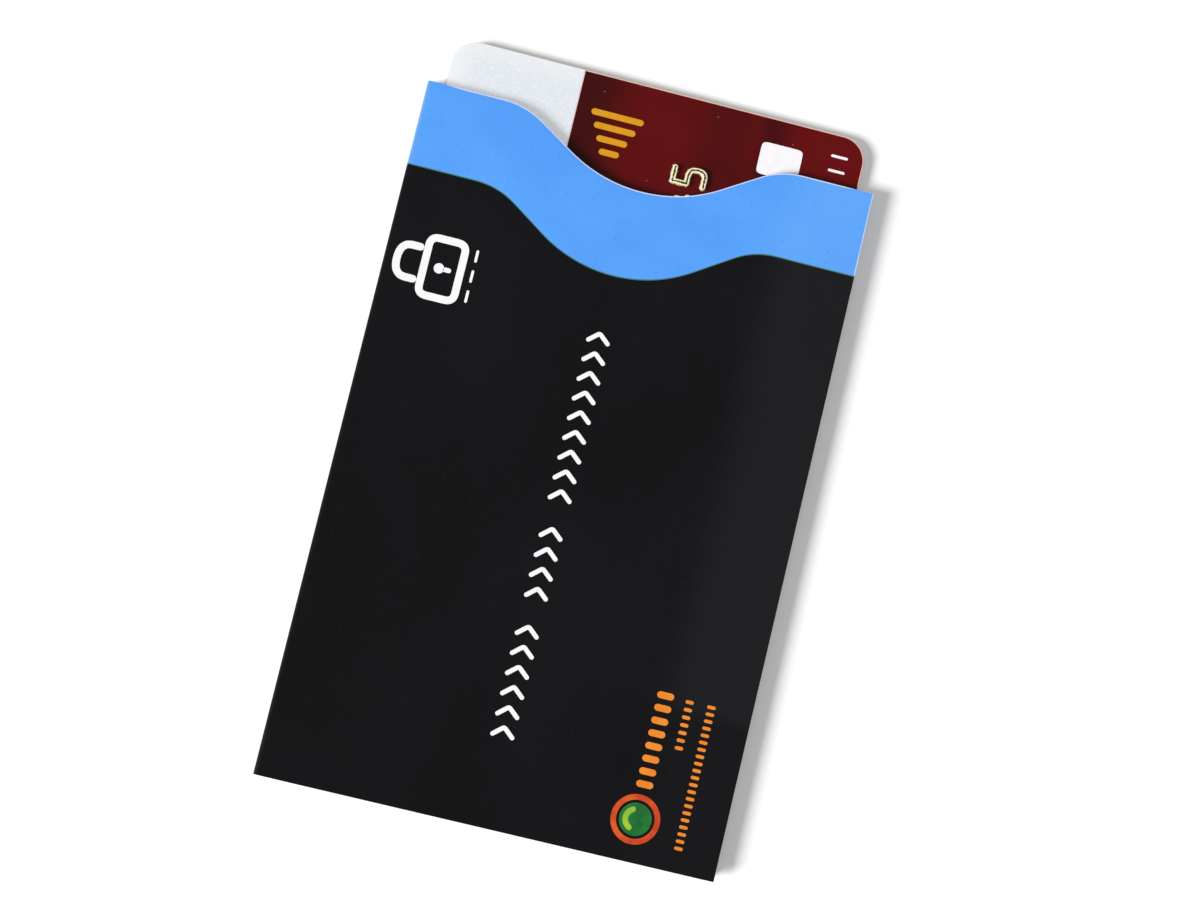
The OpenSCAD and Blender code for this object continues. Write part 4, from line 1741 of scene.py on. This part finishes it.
@dataclass
class Digits:
    """The row of raised digits, counting up from nought in groups of four.

    Attributes:
        face_z: height of the card's face.
        height: how far the digits stand above it.
        low, high: the row's corners on the card, in X and Y.
        size: a digit's whole width along Y and height along X.
        stroke: width of a stroke's flat top.
        slope: width of its sloping side.
        dish: depth of the hollow along a stroke, as a share of its height.
        root: how far the foot of the slope lies below the face.
        margin: width of the surface round a digit.
        count, group: number of digits, and how many stand together.
        corner: how far from a corner its curve begins.
        pitch: distance between the points of the surface.
    """

    face_z: float
    height: float
    low: Vec2
    high: Vec2
    size: Vec2 = (2.6, 4.6)
    stroke: float = 0.5
    slope: float = 0.24
    dish: float = 0.05
    root: float = 0.03
    margin: float = 0.25
    count: int = 16
    group: int = 4
    corner: float = 0.95
    pitch: float = 0.065

    def _distance(self, digit: int, u: np.ndarray, v: np.ndarray) -> np.ndarray:
        """Distance from each place in a digit's cell to the nearest of its strokes' middle lines.

        Args:
            digit: 0 to 9.
            u, v: places along Y and up the digit, from its middle.

        Returns:
            The least distance to any straight piece of the lines.
        """
        span = np.array(self.size) - self.stroke - self.slope / 2
        places = np.stack([u.ravel(), v.ravel()], axis=1)
        nearest = np.full(len(places), np.inf)
        for corners in DIGIT_STROKES[digit]:
            spots = [((across - 0.5) * span[0], (up - 0.5) * span[1]) for across, up, _ in corners]
            line = rounded_line(spots, [self.corner * roundness for *_, roundness in corners])
            start, run = line[:-1], np.diff(line, axis=0)
            long_enough = np.linalg.norm(run, axis=1) > 1e-9
            start, run = start[long_enough], run[long_enough]
            off = places[:, None] - start[None]
            share = np.clip((off * run).sum(2) / (run * run).sum(1), 0, 1)
            gaps = np.linalg.norm(off - share[:, :, None] * run, axis=2)
            nearest = np.minimum(nearest, gaps.min(1))
        return nearest.reshape(u.shape)

    def _digit(self, value: int, centre: Vec2) -> Shell:
        """One digit as a height over a grid, whose rim lies inside the card.

        The height is full up to half a stroke from the middle lines, and falls smoothly to just
        below the face over the slope. A skirt and a flat underside close it.

        Args:
            value: 0 to 9.
            centre: its middle on the card.

        Returns:
            The shell, with the distance from the middle lines as its values.
        """
        wide, high = (side + 2 * self.margin for side in self.size)
        u = np.linspace(-0.5, 0.5, int(wide / self.pitch)) * wide
        v = np.linspace(-0.5, 0.5, int(high / self.pitch)) * high
        u, v = np.meshgrid(u, v, indexing="ij")
        off_line = self._distance(value, u, v)
        share = smooth(off_line, self.stroke / 2 + self.slope, self.stroke / 2)
        dish = self.dish * self.height * smooth(off_line, self.stroke / 2, 0)
        z = self.face_z - self.root + (self.height + self.root) * share - dish
        top = np.stack([centre[0] - v, centre[1] + u, z], axis=2).reshape(-1, 3)
        number = numbers(*u.shape)
        rim = np.concatenate([number[0, :-1], number[:-1, -1], number[-1, :0:-1], number[:0:-1, 0]])
        under = top[rim]
        under[:, 2] = self.face_z - 2 * self.root
        below = number.size + np.arange(len(rim))
        skirt = edge_faces(np.append(rim, rim[0]), np.append(below, below[0]))
        blocks = [grid_faces(number), skirt, below[None]]
        return Shell(
            np.vstack([top, under]),
            [Faces(corners, np.zeros(len(corners), int)) for corners in blocks],
            np.concatenate([off_line.ravel(), np.ones(len(rim))]),
        )

    def build(self) -> None:
        """Make the whole row as one piece."""
        places = np.arange(self.count) + np.arange(self.count) // self.group
        first = self.low[1] + self.size[0] / 2
        last = self.high[1] - self.size[0] / 2
        x = (self.low[0] + self.high[0]) / 2
        middles = first + (last - first) * places / places[-1]
        shells = [self._digit(i % 10, (x, y)) for i, y in enumerate(middles)]
        make_piece(
            "embossed_digits", shells, (DIGIT_TIPS,), Body.CARD,
            ("raised_digits", "digit_tipping"), "off_line", crease=60,
        )


@dataclass
class Card:
    """The plastic card.

    Attributes:
        outline: its edge.
        chip: edge of the hole for the chip.
        sheet_z: underside of its front sheet.
        face_z: its face.
        edge_r: radius of the face's edge.
        edge_steps, face_steps: stretches of that radius, and of the face from the hole to the print's edge.
        print_margin: how far the print stops short of the card's edge.
        ink: how far the marks stand above the face.
        fine: distance between cross lines on the bars and rules.
        bar, bar_step: the first signal bar's middle and half its length, and the steps of these.
        bar_stroke, bar_count: the signal bars' width and number.
        block, block_size: the first block's middle, and the blocks' size.
        block_power: how square the blocks are.
        block_pitch, block_count: the distance between them and their number.
        rule_x, rule_y, rule_stroke: the rules' ends along X, the first one's Y, and their width.
        rule_pitch, rule_count: the distance between them and their number.
    """

    outline: Outline
    chip: Outline
    sheet_z: float
    face_z: float
    edge_r: float = 0.05
    edge_steps: int = 5
    face_steps: int = 8
    print_margin: float = 0.13
    ink: float = 0.008
    fine: float = 0.15
    bar: Vec3 = (-4.9, 41.2, 1.3)
    bar_step: Vec3 = (0.0, 1.6, 0.7)
    bar_stroke: float = 0.8
    bar_count: int = 4
    block: Vec2 = (16.45, 45.6)
    block_size: Vec2 = (5.4, 4.2)
    block_power: float = 9.0
    block_pitch: float = 4.9
    block_count: int = 4
    rule_x: Vec2 = (22.7, 24.9)
    rule_y: float = 48.1
    rule_stroke: float = 0.34
    rule_pitch: float = 1.9
    rule_count: int = 12

    @classmethod
    def from_frame(cls) -> "Card":
        """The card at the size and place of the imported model.

        Returns:
            A card whose edge, chip and sheet follow the CAD nodes.
        """
        corner_r = 3.18
        hole_r = 1.24
        gap = 0.04
        low, high = (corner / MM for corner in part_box("card_front_overlay"))
        near, far = (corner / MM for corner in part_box("chip_carrier"))
        core_low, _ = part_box("card_front_core")
        return cls(
            outline=Outline((low.x, low.y), (high.x, high.y), corner_r),
            chip=Outline((near.x - gap, near.y - gap), (far.x + gap, far.y + gap), hole_r),
            sheet_z=core_low.z / MM,
            face_z=high.z,
        )

    def face_height(self, x: np.ndarray, y: np.ndarray) -> np.ndarray:
        """Height of the face, which is the same everywhere."""
        return np.full(np.shape(x), self.face_z)

    def _front_sheet(self) -> Shell:
        """The front sheet and its film: a closed ring of loops, from the chip's hole to the edge and back.

        The loops of the flat face go evenly from the hole to the print's edge, and the last ones
        follow a quarter circle down to the side.

        Returns:
            The shell, with the face's finish inside the print's edge.
        """
        centre = (np.array(self.chip.low) + np.array(self.chip.high)) / 2
        rim = self.outline.loop(self.print_margin)
        hole = self.chip.reach(centre, rim)
        loops = [(hole, self.sheet_z), (hole, self.face_z)]
        for share in np.linspace(0, 1, self.face_steps + 1)[1:]:
            loops.append((hole + (rim - hole) * share, self.face_z))
        printed = len(loops) - 1
        for turn in np.radians(np.linspace(0, 90, self.edge_steps + 1)):
            inset = self.edge_r * (1 - math.sin(turn))
            loops.append((self.outline.loop(inset), self.face_z - self.edge_r * (1 - math.cos(turn))))
        loops.append((self.outline.loop(), self.sheet_z))
        grid = np.stack([np.column_stack([points, np.full(len(points), z)]) for points, z in loops])
        number = numbers(*grid.shape[:2])
        finish = np.ones(number.shape, int)
        finish[1:printed] = 0
        corners = grid_faces(np.pad(number, (0, 1), mode="wrap"))
        return Shell(grid.reshape(-1, 3), [Faces(corners, finish.ravel())])

    def _marks(self) -> None:
        """Print bars that widen like a signal's, a row of white blocks and a row of thin rules."""
        face = Printer(self.face_height, ink=self.ink)
        bars = []
        for i in range(self.bar_count):
            x, y, half = np.array(self.bar) + i * np.array(self.bar_step)
            bars.append(face.stroke([(x - half, y), (x + half, y)], self.bar_stroke, pitch=self.fine))
        blocks = []
        for i in range(self.block_count):
            centre = (self.block[0], self.block[1] - self.block_pitch * i)
            blocks.append(face.pad(centre, self.block_size, self.block_power))
        rules = []
        for i in range(self.rule_count):
            y = self.rule_y - self.rule_pitch * i
            rules.append(face.stroke([(x, y) for x in self.rule_x], self.rule_stroke, pitch=self.fine))
        make_piece("signal_bars", bars, (CARD_ORANGE,), Body.CARD)
        make_piece("white_blocks", blocks, (CARD_WHITE,), Body.CARD)
        make_piece("thin_rules", rules, (CARD_WHITE,), Body.CARD)

    def build(self, nodes: dict[str, bpy.types.Object]) -> None:
        """Make the front sheet, the digits and the marks, and dress the layers that stay as they are.

        Args:
            nodes: the CAD nodes.
        """
        finishes = (CARD_FACE, CARD_EDGE)
        replaces = ("card_front_overlay", "card_front_core")
        make_piece("card_front_sheet", [self._front_sheet()], finishes, Body.CARD, replaces)
        low, high = (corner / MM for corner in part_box("raised_digits"))
        _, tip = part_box("digit_tipping")
        Digits(self.face_z, tip.z / MM - self.face_z, (low.x, low.y), (high.x, high.y)).build()
        self._marks()
        looks = {
            "card_inlay": CARD_CORE, "card_back_core": CARD_CORE, "card_back_overlay": CARD_BACK,
            "card_antenna": ETCHED_COPPER, "chip_contacts": PLATED_GOLD, "chip_carrier": CARRIER_TAPE,
            "chip_resin": MOULDED_RESIN, "magnetic_stripe": STRIPE_COAT, "signature_panel": SIGNATURE,
        }
        for name, finish in looks.items():
            dress(nodes, name, finish)


# The studio


@dataclass
class Studio:
    """The floor, the light and the camera.

    Attributes:
        eye: the camera's place in millimetres.
        right, up, back: the camera's axes in the object's frame.
        lens, sensor: focal length and the sensor's width, in millimetres.
        clip: the nearest and the farthest that the camera sees, in metres.
        sun_from: how high the sun stands and where it stands round Z, in degrees.
        sun_share: the sun's share of the light on the floor.
        sun_size: angle that the sun fills, in degrees.
        floor_half: half the floor's width in metres.
        floor_drop: how far the floor lies below the sleeve.
        floor_tone: how much light the floor gives back.
        floor_glow: how much brighter the floor is shown than it is lit, which keeps it white.
    """

    eye: Vec3 = (-12.12, -16.89, 258.53)
    right: Vec3 = (0.96927, 0.23405, 0.07572)
    up: Vec3 = (-0.23910, 0.96873, 0.06633)
    back: Vec3 = (-0.05783, -0.08240, 0.99492)
    lens: float = 62.01
    sensor: float = 36.0
    clip: Vec2 = (0.01, 10.0)
    sun_from: Vec2 = (28.4, 209.0)
    sun_share: float = 0.72
    sun_size: float = 24.0
    floor_half: float = 1.5
    floor_drop: float = 0.02
    floor_tone: float = 0.96
    floor_glow: float = 0.18

    def camera(self) -> None:
        """Set the camera where the photograph was taken from."""
        data = bpy.data.cameras.new("camera")
        data.lens = self.lens
        data.sensor_width = self.sensor
        data.clip_start, data.clip_end = self.clip
        camera = bpy.data.objects.new("camera", data)
        axes = Matrix((self.right, self.up, self.back)).transposed().to_4x4()
        camera.matrix_world = Matrix.Translation([c * MM for c in self.eye]) @ axes
        bpy.context.scene.collection.objects.link(camera)
        bpy.context.scene.camera = camera

    def light(self) -> None:
        """Light the scene with a soft sun and an even sky, which together show a colour as it is written."""
        height, heading = (math.radians(a) for a in self.sun_from)
        sun = bpy.data.lights.new("sun", "SUN")
        sun.energy = self.sun_share * math.pi / math.sin(height)
        sun.angle = math.radians(self.sun_size)
        lamp = bpy.data.objects.new("sun", sun)
        lamp.rotation_euler = (0, math.pi / 2 - height, heading)
        bpy.context.scene.collection.objects.link(lamp)
        world = bpy.data.worlds.new("sky")
        bpy.context.scene.world = world
        world.use_nodes = True
        nodes, links = world.node_tree.nodes, world.node_tree.links
        sky = nodes["Background"]
        sky.inputs["Color"].default_value = (1, 1, 1, 1)
        level = nodes.new("ShaderNodeMapRange")
        level.inputs["To Min"].default_value = 1 - self.sun_share
        level.inputs["To Max"].default_value = 1.0
        links.new(self._showing(world.node_tree), level.inputs["Value"])
        links.new(level.outputs["Result"], sky.inputs["Strength"])

    def _showing(self, tree: bpy.types.NodeTree) -> Socket:
        """Tells the rays that show a background, straight, through glass or off gloss, from the others.

        Args:
            tree: the nodes that it joins.

        Returns:
            1 for those rays and 0 for the others.
        """
        rays = tree.nodes.new("ShaderNodeLightPath")
        showing = rays.outputs["Is Camera Ray"]
        for kind in ("Is Transmission Ray", "Is Glossy Ray"):
            either = tree.nodes.new("ShaderNodeMath")
            either.operation = "MAXIMUM"
            tree.links.new(showing, either.inputs[0])
            tree.links.new(rays.outputs[kind], either.inputs[1])
            showing = either.outputs["Value"]
        return showing

    def floor(self) -> None:
        """Lay a plain white floor under the sleeve."""
        half = self.floor_half
        z = -self.floor_drop * MM
        corners = [(-half, -half, z), (half, -half, z), (half, half, z), (-half, half, z)]
        mesh = bpy.data.meshes.new("floor")
        mesh.from_pydata(corners, [], [(0, 1, 2, 3)])
        material = bpy.data.materials.new("floor")
        material.use_nodes = True
        nodes, links = material.node_tree.nodes, material.node_tree.links
        nodes.clear()
        paper = nodes.new("ShaderNodeBsdfDiffuse")
        paper.inputs["Color"].default_value = (self.floor_tone,) * 3 + (1,)
        glow = nodes.new("ShaderNodeEmission")
        glow.inputs["Color"].default_value = (self.floor_glow,) * 3 + (1,)
        links.new(self._showing(material.node_tree), glow.inputs["Strength"])
        both = nodes.new("ShaderNodeAddShader")
        total = nodes.new("ShaderNodeOutputMaterial")
        links.new(paper.outputs["BSDF"], both.inputs[0])
        links.new(glow.outputs["Emission"], both.inputs[1])
        links.new(both.outputs["Shader"], total.inputs["Surface"])
        mesh.materials.append(material)
        floor = bpy.data.objects.new("floor", mesh)
        bpy.context.scene.collection.objects.link(floor)

    def build(self) -> None:
        """Set up the camera, the light and the floor."""
        bpy.context.scene.view_settings.view_transform = "Standard"
        self.camera()
        self.light()
        self.floor()


def main() -> None:
    """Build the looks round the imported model."""
    logging.basicConfig(level=logging.INFO, format="%(name)s: %(message)s")
    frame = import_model()
    nodes = frame["nodes"]
    Studio().build()
    sleeve = Sleeve.from_frame()
    sleeve.build(nodes)
    SleevePrint(sleeve).build()
    Card.from_frame().build(nodes)


if __name__ == "__main__":
    main()
